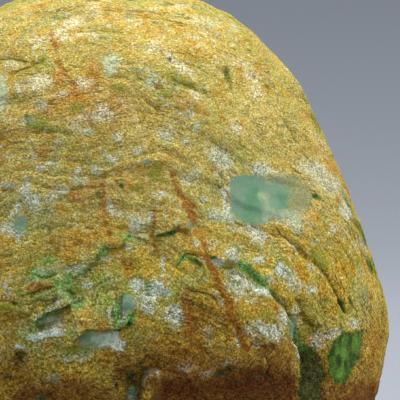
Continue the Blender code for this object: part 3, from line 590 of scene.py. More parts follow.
# Streaks: line, half-width, strength.
STREAKS = {
    "front": {
        "rust": [
            ([(36.5, 106), (37.6, 101), (38.6, 96), (39.2, 92.7), (40.6, 90), (42, 87.7), (43.2, 84.5),
              (43.4, 81.7), (44.4, 79.2), (46.1, 76.7), (47.4, 73.9), (48, 70.7), (49.3, 68), (50.3, 64.8),
              (52.3, 61.6), (53.4, 58.8), (54.8, 56.1), (56.6, 52.6)], 1.15, 0.95),
            ([(48, 70.7), (49.3, 68), (50.3, 64.8), (52.3, 61.6), (53.4, 58.8)], 1.2, 0.9),
            ([(28.7, 81), (30, 78), (31, 74.4), (31.4, 71.6), (32.3, 68), (32.3, 62), (34.2, 59.8),
              (35.5, 57.5), (37.2, 53.6)], 2.1, 0.58),
            ([(25, 130), (26.3, 124), (28, 120), (30.1, 117), (31.4, 114.6), (32.6, 110), (35.4, 105)], 1.2, 0.75),
            ([(30.6, 116), (33.6, 114), (36.4, 112.8)], 0.8, 0.8),
            ([(10.6, 129.6), (12.6, 127.4), (14.8, 125)], 1.0, 0.7),
            ([(18.6, 116), (18.4, 110), (17.4, 104.6), (16.9, 101.7), (18.1, 98.7), (20, 95)], 0.9, 0.7),
            ([(-3, 130), (-2.5, 116), (-1.5, 106), (2, 96), (5.4, 91), (8, 85)], 0.8, 0.6),
            ([(-25, 188), (-23, 181), (-21.5, 176), (-21, 172), (-17.5, 166), (-12, 159)], 0.9, 0.6),
            ([(-12, 159), (-8, 148), (-4, 138)], 0.8, 0.4),
            ([(-31.6, 80.4), (-28, 81.4), (-24.6, 82.6)], 1.1, 0.35),
            ([(51.6, 165.6), (52.4, 162)], 0.8, 0.7),
            ([(-19.6, 73.4), (-16.4, 74)], 0.5, 0.9),
            ([(95, 79), (95.6, 76.6)], 0.5, 0.8),
        ],
        "jade": [
                        ([(80, 101), (82, 97)], 0.8, 0.6),
            ([(31, 79.8), (35, 79.2), (39, 78.2), (42, 76)], 0.5, 0.7),
            ([(-15, 58.5), (-13, 62), (-9, 63.8), (-1, 63.4)], 0.6, 0.8),
            ([(18, 101.6), (21, 102.4), (24, 103.4)], 0.6, 0.8),
            ([(45, 89.4), (49.7, 88)], 0.4, 0.8),
            ([(90, 122), (93, 116), (96, 110)], 0.5, 0.5),
        ],
        "apple": [
            ([(90.6, 58), (94, 55), (98, 52), (100, 50.6)], 0.4, 0.8),
            ([(94, 62), (95.4, 56), (94.4, 50), (95, 44)], 0.35, 0.8),
            ([(98, 63), (98.2, 58), (99, 54)], 0.35, 0.7),
        ],
        "leaf": [
            ([(50.4, 90.3), (53.4, 89.2), (56, 87.6), (58.4, 85.6), (60.2, 83.4), (62.6, 80.8)], 1.7, 0.95),
            ([(26.2, 87.8), (27.8, 90.2), (29.6, 92.5), (31.4, 94.3)], 1.1, 0.8),
            ([(60.2, 83.4), (63.4, 80), (66, 77)], 0.8, 0.7),
            ([(-31.4, 65.4), (-28, 68.6), (-25, 70.2), (-21, 71.8), (-17, 73.2), (-13.4, 74.4)], 1.1, 0.7),
            ([(-14.6, 75), (-12.4, 75.8), (-9.6, 74.8)], 1.5, 0.75),
            ([(10, 72), (9.4, 69.4), (7.6, 67.2), (5, 65.6), (2, 65)], 1.3, 0.85),
            ([(2.8, 75), (2.8, 71), (2.8, 66.4)], 1.2, 0.85),
            ([(-6, 90.6), (-5, 94), (-3, 95.8), (-0.6, 96.4)], 1.3, 0.75),
            ([(-12.4, 86), (-10.4, 87.6), (-8.6, 89.6)], 1.5, 0.65),
            ([(5.6, 99.4), (6.6, 101.6), (9, 102.6)], 1.4, 0.7),
            ([(-31.6, 87), (-30, 85.6), (-27, 84.8), (-24, 85.2), (-22, 86.2)], 1.2, 0.65),
            ([(-30, 91.2), (-26, 92), (-22, 91.4)], 1.0, 0.6),
            ([(-24.6, 83), (-20, 83.6), (-15, 84)], 2.2, 0.6),
            ([(-21, 79.6), (-18, 78.4), (-15, 77)], 1.8, 0.65),
            ([(44, 89.6), (47.6, 88.6), (50.6, 88.8)], 0.6, 0.6),
            ([(15.6, 85), (15.8, 82), (15.4, 79.6)], 1.0, 0.6),
            ([(4.8, 78.4), (7, 77.4), (9.6, 77)], 0.8, 0.7),
            ([(-30, 56), (-27.4, 54.6), (-24.8, 55.6)], 0.8, 0.7),
            ([(79, 62), (81.6, 58), (83.6, 53)], 1.6, 0.6),
        ],
        "pale": [
            ([(-37.5, 163.5), (-35, 157.5)], 0.5, 1.0),
            ([(-42, 84), (-41, 81), (-40.4, 77)], 1.1, 0.85),
            ([(45.6, 86.4), (49, 86.2), (53, 84.6), (57, 81.6), (61, 78.8)], 1.4, 0.9),
            ([(58, 80.2), (61.6, 79), (60, 77)], 1.2, 1.0),
            ([(40.8, 80.4), (43, 77.6), (45.4, 75)], 0.4, 0.7),
            ([(49, 66), (50.4, 62.6), (51, 60)], 0.5, 0.8),
            # Painted highlight: a pale line on the lit lip of the ledge.
            ([(-31, 68), (-26.6, 71.3), (-22.6, 73.6), (-20, 75)], 0.45, 0.9),
            ([(47.6, 122), (47.2, 117), (47.8, 111), (50, 107)], 1.5, 0.9),
            ([(54, 105.4), (59, 104), (63, 101)], 1.4, 0.9),
            # Painted highlight: a pale line on the lit lip of the ledge over the hole.
            ([(13.2, 43), (14.6, 46.4), (17, 47.6), (20.6, 48)], 0.7, 0.5),
            ([(66.5, 77), (72, 72.6), (76, 70), (80, 66.4)], 0.3, 0.5),
            ([(73.5, 74.6), (77, 71), (80.6, 67)], 1.3, 0.65),
            ([(-0.6, 74), (0.2, 70), (0.8, 66.6)], 0.5, 0.8),
            ([(4.6, 74), (4.4, 70), (4.9, 66.6)], 0.6, 0.95),
            ([(39.4, 79.6), (43.4, 75.6), (45.2, 73)], 0.5, 0.7),
            ([(-21, 79.4), (-18, 77.6), (-15, 76.2), (-12, 77), (-9.4, 75.8)], 0.5, 0.7),
            ([(72, 118.6), (74, 114), (77, 110)], 0.3, 0.4),
            ([(36, 94.2), (38.6, 91.6)], 0.5, 0.8),
        ],
        "milk": [
            ([(62.4, 120), (62.8, 116), (63.4, 111)], 2.4, 0.44),
            ([(62.4, 112), (65.5, 109.6), (70, 108)], 2.6, 0.5),
            ([(-6.4, 62.6), (-6.8, 60), (-6.6, 57.4)], 0.6, 0.6),
            ([(-3.6, 63), (-4, 60), (-3.6, 56.6)], 0.9, 0.8),
            ([(-0.8, 62.6), (-1, 60), (-0.6, 56)], 1.0, 0.9),
            ([(2, 62.4), (2.2, 59.6), (2.6, 55.6)], 1.1, 1.0),
            ([(4.6, 61), (5, 58), (4.4, 55)], 1.0, 0.8),
            ([(-29, 66.4), (-25, 68.4), (-20.6, 69.6)], 0.9, 0.6),
        ],
        # Painted shade under the ledges' lips and in cracks, in dark green.
        "deep_green_and_shade": [
            ([(-31.2, 65.8), (-28.6, 68), (-25.7, 70), (-22, 71.4), (-18.4, 72.8), (-15.6, 73.6)], 0.6, 0.7),
            ([(-14.4, 59.6), (-13, 62.2), (-9, 64.2), (-1, 63.8), (2.4, 63.8)], 0.4, 0.8),
            ([(56, 59.2), (60, 58.2), (66, 58.2)], 0.4, 0.6),
            ([(57.6, 52), (61, 49), (64, 42)], 0.7, 0.5),
        ],
        # The first four lie in grooves: the cracks' olive colour, with painted shade in them.
        "olive": [
            ([(-46, 172.5), (-38, 172), (-33, 171)], 0.8, 0.8),
            ([(-38, 167), (-34, 168.5), (-29, 170.5), (-25, 173)], 0.9, 0.8),
            ([(63.4, 80.6), (66.6, 76.2), (70, 73.4), (73, 69.6)], 0.8, 1.0),
            ([(86, 86), (90, 80), (92, 76)], 0.6, 0.8),
            ([(99, 104), (101.5, 98), (104, 92)], 0.5, 0.6),
        ],
    },
}

# Panes: outline, softness of the edge, strength.
PANES = {
    "front": {
        "teal": [
            ([(48.4, 124.4), (51, 125.6), (57, 126.4), (64, 125.6), (66, 116), (64, 107), (60, 106.4),
              (55, 107), (51, 108.2), (48.4, 109)], 1.6, 1.0),
            ([(58, 123.6), (68, 123), (72, 119), (72, 113), (68.4, 109.6), (58, 109)], 4.0, 1.0),
            ([(-15, 56.5), (-14.6, 59), (-13.4, 61.2), (-8.6, 63.8), (-2, 63.6), (3, 63), (3.6, 60), (2, 57.4),
              (-2, 56), (-6, 55.4), (-11, 55.4)], 2.6, 0.8),
        ],
        "drab": [
            ([(64, 127), (75, 125.4), (79.4, 122.6), (81.2, 117.8), (79.6, 112.8), (75, 109.6), (66, 108)], 3.0,
             0.95),
            ([(-31, 64.8), (-29.4, 68), (-25, 70.4), (-20.6, 71.8), (-17.4, 71), (-18, 68), (-20.4, 66),
              (-26, 65.2)], 1.8, 1.0),
        ],
        "milk": [
            ([(-33, 61), (-30, 63.6), (-26, 64.9), (-20, 65.6), (-17, 64.4), (-18.5, 62.4), (-23, 62),
              (-27, 61.6), (-30.6, 59.6)], 1.0, 1.0),
            ([(-9, 63.4), (2, 63), (3.6, 58), (-2, 56), (-8, 57)], 3.0, 0.5),
            ([(8.4, 84.4), (13, 85), (20, 84.6), (23.6, 80), (24, 76), (20, 74), (13, 75.4), (9, 79)], 2.2, 0.38),
            ([(21.4, 75), (26, 75), (28.4, 70), (27, 65.6), (23.4, 65.6), (21.4, 70)], 2.2, 0.2),
        ],
        "olive": [
            ([(-24, 83.6), (-19, 85), (-14, 84.6), (-9.4, 82.6), (-8, 79), (-11, 76.8), (-16, 77.6),
              (-21, 80)], 1.8, 0.72),
        ],
        "sea": [
            ([(56, 122), (61.4, 121), (61.6, 108), (56, 107.4), (52, 109), (54, 114)], 1.8, 0.75),
            ([(67, 120), (71.4, 119.4), (71.8, 112.4), (68.4, 111.6)], 1.4, 0.75),
            ([(-14.4, 58.8), (-13, 61.4), (-9, 63.4), (-6, 62), (-7, 59)], 1.2, 0.8),
            ([(71.8, 71), (75, 68.4), (78.6, 65), (79.8, 60), (79.6, 56.6), (77, 57), (74.6, 60), (75, 63.4),
              (73.4, 66.4)], 1.0, 0.85),
        ],
        "jade": [
            ([(92.6, 62), (96.6, 63.4), (102.2, 63.8), (102.4, 58.8), (100.4, 53.6), (98, 47.4), (95.6, 42),
              (91.2, 42), (90.3, 48.4), (89.6, 55.4)], 1.6, 1.05),
        ],
        # The pocket's dark green floor: partly the jade's own colour, partly painted shade.
        "deep_green_and_shade": [
            ([(73, 67), (75, 69), (78.4, 66), (79.6, 61), (82, 58), (85.6, 56), (88, 50), (89, 43), (87, 35),
              (79, 31), (76.6, 38), (77.6, 46), (78, 53), (76.4, 57), (73.4, 59.6)], 2.2, 1.05),
        ],
    },
}
MINERALS = ("deep_green_and_shade", "pale", "milk", "teal", "sea", "jade", "apple", "leaf", "olive", "drab", "orange", "umber", "rust")


def spot(places, across, up, half_long, half_wide, tilt, strength):
    """A soft-edged oval."""
    turn = math.radians(tilt)
    offset = places - (across, up)
    along = (offset @ (math.cos(turn), math.sin(turn))) / half_long
    wide = (offset @ (-math.sin(turn), math.cos(turn))) / half_wide
    return strength * (1 - eased(np.hypot(along, wide), 0.3, 2.1))


def streak(places, line, half_width, strength):
    """A soft-edged band along a line."""
    distance, _, along, _ = line_distance(places, line)
    ends = eased(along, 0, 0.08) * eased(1 - along, 0, 0.08)
    return strength * ends * (1 - eased(distance, 0.3 * half_width, 2.0 * half_width))


def pane(places, outline, softness, strength):
    """A closed outline, soft by this much at its edge."""
    closed = [*outline, outline[0]]
    distance, _, _, _ = line_distance(places, closed)
    inside = np.zeros(len(places), bool)
    for (x0, y0), (x1, y1) in zip(closed, closed[1:]):
        crosses = (y0 > places[:, 1]) != (y1 > places[:, 1])
        at = x0 + (places[:, 1] - y0) * (x1 - x0) / (y1 - y0 if y1 != y0 else 1)
        inside ^= crosses & (places[:, 0] < at)
    return strength * eased(np.where(inside, distance, -distance), -softness, softness)


def mineral_amounts(seen, count):
    """How much of each mineral shows at each point, 0 to about 1."""
    amounts = {mineral: np.zeros(count) for mineral in MINERALS}
    for face, (places, _, _, facing) in seen.items():
        for drawing, marks in ((spot, SPOTS), (streak, STREAKS), (pane, PANES)):
            for mineral, shapes in marks.get(face, {}).items():
                for shape in shapes:
                    amounts[mineral] = np.maximum(amounts[mineral], facing * drawing(places, *shape))
        for mineral, shapes in ZONES.get(face, {}).items():
            name = mineral + "_zone"
            amounts.setdefault(name, np.zeros(count))
            for shape in shapes:
                drawing = pane if isinstance(shape[0], list) else spot
                amounts[name] = np.maximum(amounts[name], facing * drawing(places, *shape))
    return amounts


def wander(points):
    """How far each point's drawn place strays, across and up."""
    stray = np.zeros((len(points), 2))
    for order, (size, reach) in enumerate(WANDER):
        for axis in (0, 1):
            stray[:, axis] += reach * noise(points, size, 31 + 2 * order + axis)
    return stray


def shaped(points, normals):
    """The skin's surface, its minerals, and its place in the layering."""
    seen = {face: laid_out(points, normals, *sight) for face, sight in SIGHTS.items()}
    stray = wander(points)
    seen = {face: (places + stray, *rest) for face, (places, *rest) in seen.items()}
    height = np.zeros(len(points))
    lean = np.zeros(points.shape)
    for face, (places, across, upward, facing) in seen.items():
        for values in LEDGES[face]:
            step, leaning = ledge(places, *values)
            height += facing * step
            lean += facing[:, None] * (leaning[:, :1] * across + leaning[:, 1:] * upward)
        for values in SWELLS[face]:
            height += facing * swell(places, *values)
        for values in GROOVES.get(face, []):
            height += facing * groove(places, *values)
    layers = across_layers(points)
    for order, (size, rise) in enumerate(BROAD_WAVES):
        height += rise * noise(points, size, order)
    across_them = cutting_across(points, normals)
    for spacing, rise in TERRACES:
        height += across_them * terraces(points, layers, spacing, rise)
    amounts = mineral_amounts(seen, len(points))
    smooth = np.clip(eased(amounts["teal"], 0.35, 0.8) + 0.6 * eased(amounts["drab"], 0.5, 0.9) + 0.7 * eased(amounts["jade"], 0.4, 0.9)
                     + 0.5 * eased(amounts["olive"], 0.5, 0.9) + 0.3 * eased(amounts["milk"], 0.5, 0.9), 0, 1)
    fine = np.zeros(len(points))
    for values in FISSURES:
        fine += (0.3 + 0.7 * across_them) * fissures(points, layers, *values)
    for order, (size, rise) in enumerate(LUMPS):
        fine += rise * (np.abs(noise(points, size, 40 + order)) - 0.3)
    height += fine * (1 - 0.8 * smooth)
    amounts["smooth"] = smooth
    # painted shade along the drawn cracks and under the ledges' lips
    amounts["seam"], amounts["seam_dark_and_shade"] = seams(seen, len(points))
    around = np.arctan2(points[:, 0] - LAYER_AXIS[0], points[:, 2] - LAYER_AXIS[1]) * 80
    bed = np.stack([layers, around, points[:, 1]], axis=1)
    return points + normals * height[:, None] + lean, height, amounts, bed


def read_vectors(vertices, name):
    values = np.empty(len(vertices) * 3, np.float32)
    vertices.foreach_get(name, values)
    return values.reshape(-1, 3).astype(float)


def blurred(values, edges, times):
    """Each vertex's value averaged with its neighbours', over and over."""
    count = np.bincount(edges.ravel(), minlength=len(values))
    for _ in range(times):
        total = np.bincount(edges[:, 0], values[edges[:, 1]], len(values))
        total += np.bincount(edges[:, 1], values[edges[:, 0]], len(values))
        values = total / count
    return values


def store(mesh, name, values, kind="FLOAT"):
    attribute = mesh.attributes.new(name, kind, "POINT")
    field = "value" if kind == "FLOAT" else "vector"
    attribute.data.foreach_set(field, np.asarray(values, np.float32).ravel())


def make_skin():
    """The fine mesh of the stone, with a value for each mineral at each vertex."""
    sphere = bmesh.new()
    bmesh.ops.create_icosphere(sphere, subdivisions=FINEST_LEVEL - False, radius=1)
    mesh = bpy.data.meshes.new("boulder_skin")
    sphere.to_mesh(mesh)
    sphere.free()
    directions = read_vectors(mesh.vertices, "co") - (0, FRONT_PULL, 0)
    directions /= np.linalg.norm(directions, axis=1)[:, None]
    plain = body(directions)
    mesh.vertices.foreach_set("co", plain.ravel())
    mesh.update()
    points, height, amounts, bed = shaped(plain, read_vectors(mesh.vertex_normals, "vector"))
    edges = np.empty(len(mesh.edges) * 2, np.int32)
    mesh.edges.foreach_get("vertices", edges)
    # how far each point lies below its surroundings, which the shader darkens as painted shade
    hollow = blurred(height, edges.reshape(-1, 2), 12) - height
    for name, values in amounts.items():
        store(mesh, name, values)
    store(mesh, "hollow", hollow)
    store(mesh, "bed", bed * MM, "FLOAT_VECTOR")
    mesh.vertices.foreach_set("co", (points * MM).ravel())
    mesh.update()
    return mesh


def cut_foot(mesh):
    """Wears the stone's foot flat."""
    cut = bmesh.new()
    cut.from_mesh(mesh)
    everything = cut.verts[:] + cut.edges[:] + cut.faces[:]
    bmesh.ops.bisect_plane(cut, geom=everything, plane_co=(0, 0, 0), plane_no=(0, 0, 1), clear_inner=True)
    rim = [edge for edge in cut.edges if edge.is_boundary]
    bmesh.ops.triangulate(cut, faces=bmesh.ops.holes_fill(cut, edges=rim)["faces"])
    cut.to_mesh(mesh)
    cut.free()


def make_boulder(collection, material):
    skin = make_skin()
    piece = bpy.data.objects.new("boulder_skin", skin)
    collection.objects.link(piece)
    thinning = piece.modifiers.new("thinning", "DECIMATE")
    thinning.ratio = SKIN_TRIANGLES / len(skin.polygons)
    graph = bpy.context.evaluated_depsgraph_get()
    thinned = bpy.data.meshes.new_from_object(piece.evaluated_get(graph))
    piece.modifiers.clear()
    piece.data = thinned
    cut_foot(piece.data)
    piece.data.shade_smooth()
    piece.data.materials.clear()
    piece.data.materials.append(material)
    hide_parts("boulder")
    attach(piece, "root")
    return piece


# ---------------------------------------------------------------------------------------------------------
# The skin's material
# ---------------------------------------------------------------------------------------------------------

COLOURS = {  # as seen on a screen, 0 to 255
    "deep_gold": (188, 148, 50),
    "gold": (208, 175, 72),
    "straw": (226, 200, 106),
    "khaki": (182, 174, 88),
    "olive": (148, 148, 48),
    "grey_green": (160, 172, 112),
    "sage": (180, 186, 118),
    "moss": (150, 168, 70),
    "chalk": (218, 228, 208),
    "cream": (236, 226, 180),
    "chalk_gap": (186, 180, 128),
    "milk": (232, 244, 220),
    "cloudy": (194, 204, 160),
    "teal": (142, 170, 138),
    "deep_teal": (116, 156, 126),
    "sea": (96, 152, 110),
    "jade": (30, 68, 14),
    "grass": (80, 126, 36),
    # dark green, also used as painted shade in the pocket, holes and under ledges
    "deep_green_and_shade": (74, 78, 36),
    "leaf": (130, 186, 96),
    "apple": (124, 170, 64),
    "drab": (150, 154, 106),
    "ochre": (198, 130, 32),
    "rust": (160, 96, 26),
    "umber": (130, 78, 22),
    "dark_umber": (92, 42, 8),
    # dark crack colour, also used as painted shade in the drawn cracks and under ledges
    "crack_and_shade": (58, 46, 14),
}


WARM_STAIN_AND_PAINTED_LIGHT = (1.12, 0.98, 0.45)  # how the lower skin's colour is changed: red, green and blue; partly a warm stain, partly painted light for the sheen the overhead light gives the top


def linear(name):
    """A screen colour as light."""
    return tuple(
        part / 12.92 if part <= 0.04045 else ((part + 0.055) / 1.055) ** 2.4
        for part in (value / 255 for value in COLOURS[name])
    ) + (1,)


def join(tree, made, inputs):
    for name, value in inputs.items():
        if isinstance(value, bpy.types.NodeSocket):
            tree.links.new(value, made.inputs[name])
        else:
            made.inputs[name].default_value = value
    return made


def calc(tree, operation, a, b=0.0, c=0.0):
    made = tree.nodes.new("ShaderNodeMath")
    made.operation = operation
    return join(tree, made, {0: a, 1: b, 2: c}).outputs[0]


def blend(tree, factor, a, b, kind="MIX"):
    made = tree.nodes.new("ShaderNodeMix")
    made.data_type = "RGBA"
    made.blend_type = kind
    return join(tree, made, {0: factor, 6: a, 7: b}).outputs[2]


def value_of(tree, name, vector=False):
    made = tree.nodes.new("ShaderNodeAttribute")
    made.attribute_name = name
    return made.outputs["Vector" if vector else "Fac"]


def cloud(tree, place, size, detail=2.0, roughness=0.55, seed=0.0, gain=1.0):
    """Noise whose blots are about this many millimetres across, around 0.5 and spread by its gain."""
    made = tree.nodes.new("ShaderNodeTexNoise")
    made.noise_dimensions = "4D"
    inputs = {"Vector": place, "W": seed, "Scale": 1 / (size * MM), "Detail": detail, "Roughness": roughness}
    fac = join(tree, made, inputs).outputs["Fac"]
    return fac if gain == 1 else calc(tree, "MULTIPLY_ADD", fac, gain, 0.5 - gain / 2)


def cells(tree, place, size):
    """Grains about this many millimetres across: a random value each, and the distance from its middle."""
    made = tree.nodes.new("ShaderNodeTexVoronoi")
    join(tree, made, {"Vector": place, "Scale": 1 / (size * MM)})
    split = tree.nodes.new("ShaderNodeSeparateColor")
    tree.links.new(made.outputs["Color"], split.inputs[0])
    return split.outputs[0], split.outputs[1], made.outputs["Distance"]


def stepped(tree, value, low, high):
    """0 below low, 1 above high, and smooth between."""
    made = tree.nodes.new("ShaderNodeMapRange")
    made.interpolation_type = "SMOOTHSTEP"
    return join(tree, made, {"Value": value, "From Min": low, "From Max": high}).outputs[0]


def ragged(tree, amount, grit, reach=1.0, softness=0.2):
    """A mineral's amount made into a patch that breaks up grain by grain at its edges."""
    pushed = calc(tree, "MULTIPLY_ADD", calc(tree, "SUBTRACT", grit, 0.5), reach, amount)
    return stepped(tree, pushed, 0.5 - softness, 0.5 + softness)


def stretched(tree, vector, factors):
    made = tree.nodes.new("ShaderNodeVectorMath")
    made.operation = "MULTIPLY"
    return join(tree, made, {0: vector, 1: factors}).outputs[0]


def bare_skin(tree, place, height, grit):
    """The weathered skin: golds, khakis and greens mixed in patches, browner towards the foot."""
    layers = (  # colour, blot size, seed, spread, offset, raggedness, strength
        ("gold", 10, 2, 2.2, 0.0, 0.9, 1.0),
        ("straw", 20, 3, 1.6, -0.02, 1.2, 0.9),
        ("khaki", 14, 4, 2.4, -0.04, 1.0, 0.9),
        ("olive", 22, 5, 2.6, -0.16, 1.0, 0.65),
        ("grey_green", 8, 6, 2.6, -0.24, 1.0, 0.65),
        ("ochre", 9, 7, 2.6, -0.3, 0.9, 0.5),
    )
    skin = linear("deep_gold")
    for name, size, seed, spread, offset, reach, strength in layers:
        amount = calc(tree, "ADD", cloud(tree, place, size, 4, 0.6, seed, spread), offset)
        patch = calc(tree, "MULTIPLY", ragged(tree, amount, grit, reach, 0.5), strength)
        skin = blend(tree, patch, skin, linear(name))
    fleck = calc(tree, "MULTIPLY_ADD", cloud(tree, place, 26, 3, 0.6, 11, 1.4), 0.4, -0.03)
    flecks = ragged(tree, fleck, cloud(tree, place, 2.4, 2, 0.6, 12, 2.4), 0.9, 0.25)
    skin = blend(tree, calc(tree, "MULTIPLY", flecks, 0.65), skin, linear("chalk"))
    level = calc(tree, "SUBTRACT", cloud(tree, place, 45, 2, 0.5, 16, 2.0), 0.5)
    level = calc(tree, "MULTIPLY_ADD", level, 16 * MM, height)
    # Warmer and darker towards the foot: partly the stone's warm stain, partly painted light for the pale sheen the
    # overhead light gives the top.
    skin = blend(tree, stepped(tree, level, 124 * MM, 86 * MM), skin, stretched(tree, skin, WARM_STAIN_AND_PAINTED_LIGHT))
    moss = stepped(tree, cloud(tree, place, 5, 3, 0.6, 17, 2.4), 0.32, 0.62)
    mixed = {"grey_green": blend(tree, moss, linear("moss"), linear("sage"))}
    for name in ("ochre", "straw", "khaki", "grey_green", "umber", "dark_umber"):
        amount = value_of(tree, name + "_zone")
        reach = 0.45 if "umber" in name else 0.8
        patch = calc(tree, "MULTIPLY", ragged(tree, amount, grit, reach, 0.6), stepped(tree, amount, 0.03, 0.3))
        skin = blend(tree, patch, skin, mixed[name] if name in mixed else linear(name))
    low = stepped(tree, level, 60 * MM, 34 * MM)
    skin = blend(tree, ragged(tree, low, grit, 0.8, 0.45), skin, linear("umber"))
    lowest = stepped(tree, level, 40 * MM, 18 * MM)
    return blend(tree, ragged(tree, lowest, grit, 0.8, 0.45), skin, linear("dark_umber"))


def minerals_on(tree, skin, place, height, grit, fine):
    """The skin with each mineral laid over it where its amount shows."""
    stripes = cloud(tree, stretched(tree, place, (1, 1, 0.3)), 3.0, 3, 0.6, 15, 2.4)
    chalk = blend(tree, stepped(tree, height, 132 * MM, 160 * MM), linear("chalk"), linear("cream"))
    mixed = {
        "pale": blend(tree, stepped(tree, fine, 0.2, 0.6), linear("chalk_gap"), chalk),
        "teal": blend(tree, cloud(tree, place, 9, 3, 0.5, 8, 2.4), linear("deep_teal"), linear("teal")),
        "jade": blend(tree, stepped(tree, stripes, 0.3, 0.8), linear("jade"), linear("grass")),
        "milk": blend(tree, stepped(tree, height, 90 * MM, 122 * MM), linear("milk"), linear("cloudy")),
        "orange": linear("ochre"),
    }
    layers = (  # mineral, raggedness, softness, strength
        ("orange", 0.9, 0.45, 0.7),
        # dark green, with painted shade in the pocket, holes and under the ledges
        ("deep_green_and_shade", 0.5, 0.3, 0.95),
        ("olive", 0.9, 0.35, 0.9),
        ("drab", 0.7, 0.4, 0.9),
        ("pale", 1.0, 0.5, 0.8),
        ("teal", 0.6, 0.4, 1.0),
        ("sea", 0.7, 0.4, 0.85),
        ("milk", 0.9, 0.4, 0.9),
        ("leaf", 1.0, 0.5, 0.9),
        ("jade", 0.9, 0.35, 0.95),
        ("apple", 0.8, 0.5, 0.85),
        ("rust", 1.1, 0.4, 0.85),
        ("umber", 1.0, 0.4, 0.9),
    )
    for name, reach, softness, strength in layers:
        amount = value_of(tree, name)
        patch = calc(tree, "MULTIPLY", ragged(tree, amount, grit, reach, softness), strength)
        patch = calc(tree, "MULTIPLY", patch, stepped(tree, amount, 0.03, 0.2))
        skin = blend(tree, patch, skin, mixed[name] if name in mixed else linear(name))
    return skin


def cracks_and_shade(tree, place, rough, small):
    """How fully each point lies in a hairline between the layers, or in a drawn crack or ledge; the drawn ones carry
    painted shade in the cracks and under the ledges' lips.
    """
    bed = value_of(tree, "bed", vector=True)
    beds = cloud(tree, stretched(tree, bed, (1, 0.14, 0.14)), 2.6, 3, 0.6, 9)
    hairline = stepped(tree, calc(tree, "ABSOLUTE", calc(tree, "SUBTRACT", beds, 0.5)), 0.022, 0.0)
    patches = stepped(tree, cloud(tree, place, 19, 3, 0.6, 13, 2.0), 0.36, 0.66)
    hairline = calc(tree, "MULTIPLY", calc(tree, "MULTIPLY", hairline, patches), calc(tree, "MULTIPLY", rough, 0.7))
    gap = calc(tree, "MULTIPLY_ADD", calc(tree, "SUBTRACT", small, 0.5), 0.9, value_of(tree, "seam"))
    drawn = stepped(tree, calc(tree, "ABSOLUTE", gap), 0.62, 0.12)
    broken = calc(tree, "MULTIPLY_ADD", stepped(tree, cloud(tree, place, 5, 2, 0.6, 14, 2.2), 0.3, 0.6), 0.75, 0.25)
    drawn = calc(tree, "MULTIPLY", calc(tree, "MULTIPLY", drawn, broken), value_of(tree, "seam_dark_and_shade"))
    return calc(tree, "MAXIMUM", hairline, drawn)


def grain_tone_and_shade(tree, grain, from_middle, fine, rough):
    """How bright each grain is against its mineral's colour, with painted shade in the gaps between grains and in the
    creases.
    """
    grain_and_shade = calc(tree, "MULTIPLY_ADD", grain, 0.6, 0.96)
    # Painted shade: each grain darker towards its edge, in the gaps between grains.
    grain_and_shade = calc(tree, "MULTIPLY_ADD", stepped(tree, from_middle, 0.2, 0.65), -0.34, grain_and_shade)
    grain_and_shade = calc(tree, "MULTIPLY", grain_and_shade, calc(tree, "MULTIPLY_ADD", fine, 0.9, 0.64))
    grain_and_shade = calc(tree, "MULTIPLY_ADD", calc(tree, "SUBTRACT", grain_and_shade, 1.0), rough, 1.0)
    # Painted shade: darker where the surface lies below its surroundings, in creases and at the foot of ledges.
    painted_crevice_shade = stepped(tree, value_of(tree, "hollow"), 0.05, 0.7)
    return calc(tree, "MULTIPLY", grain_and_shade, calc(tree, "MULTIPLY_ADD", painted_crevice_shade, -0.3, 1.0))


def grained(tree, skin, grain_and_shade):
    """The skin made lighter and darker by its grains' own tone and by the painted shade in the gaps and creases, by
    the same step in red, green and blue, as a screen shows them.
    """
    grey = tree.nodes.new("ShaderNodeRGBToBW")
    parts = tree.nodes.new("ShaderNodeSeparateColor")
    made = tree.nodes.new("ShaderNodeCombineColor")
    tree.links.new(skin, grey.inputs[0])
    tree.links.new(skin, parts.inputs[0])
    change = calc(tree, "SUBTRACT", grain_and_shade, 1.0)
    for channel in range(3):
        part = calc(tree, "MAXIMUM", parts.outputs[channel], 0.004)
        share = calc(tree, "POWER", calc(tree, "DIVIDE", grey.outputs[0], part), 0.45)
        gain = calc(tree, "MAXIMUM", calc(tree, "MULTIPLY_ADD", change, share, 1.0), 0.15)
        tree.links.new(calc(tree, "MULTIPLY", part, gain), made.inputs[channel])
    return made.outputs[0]


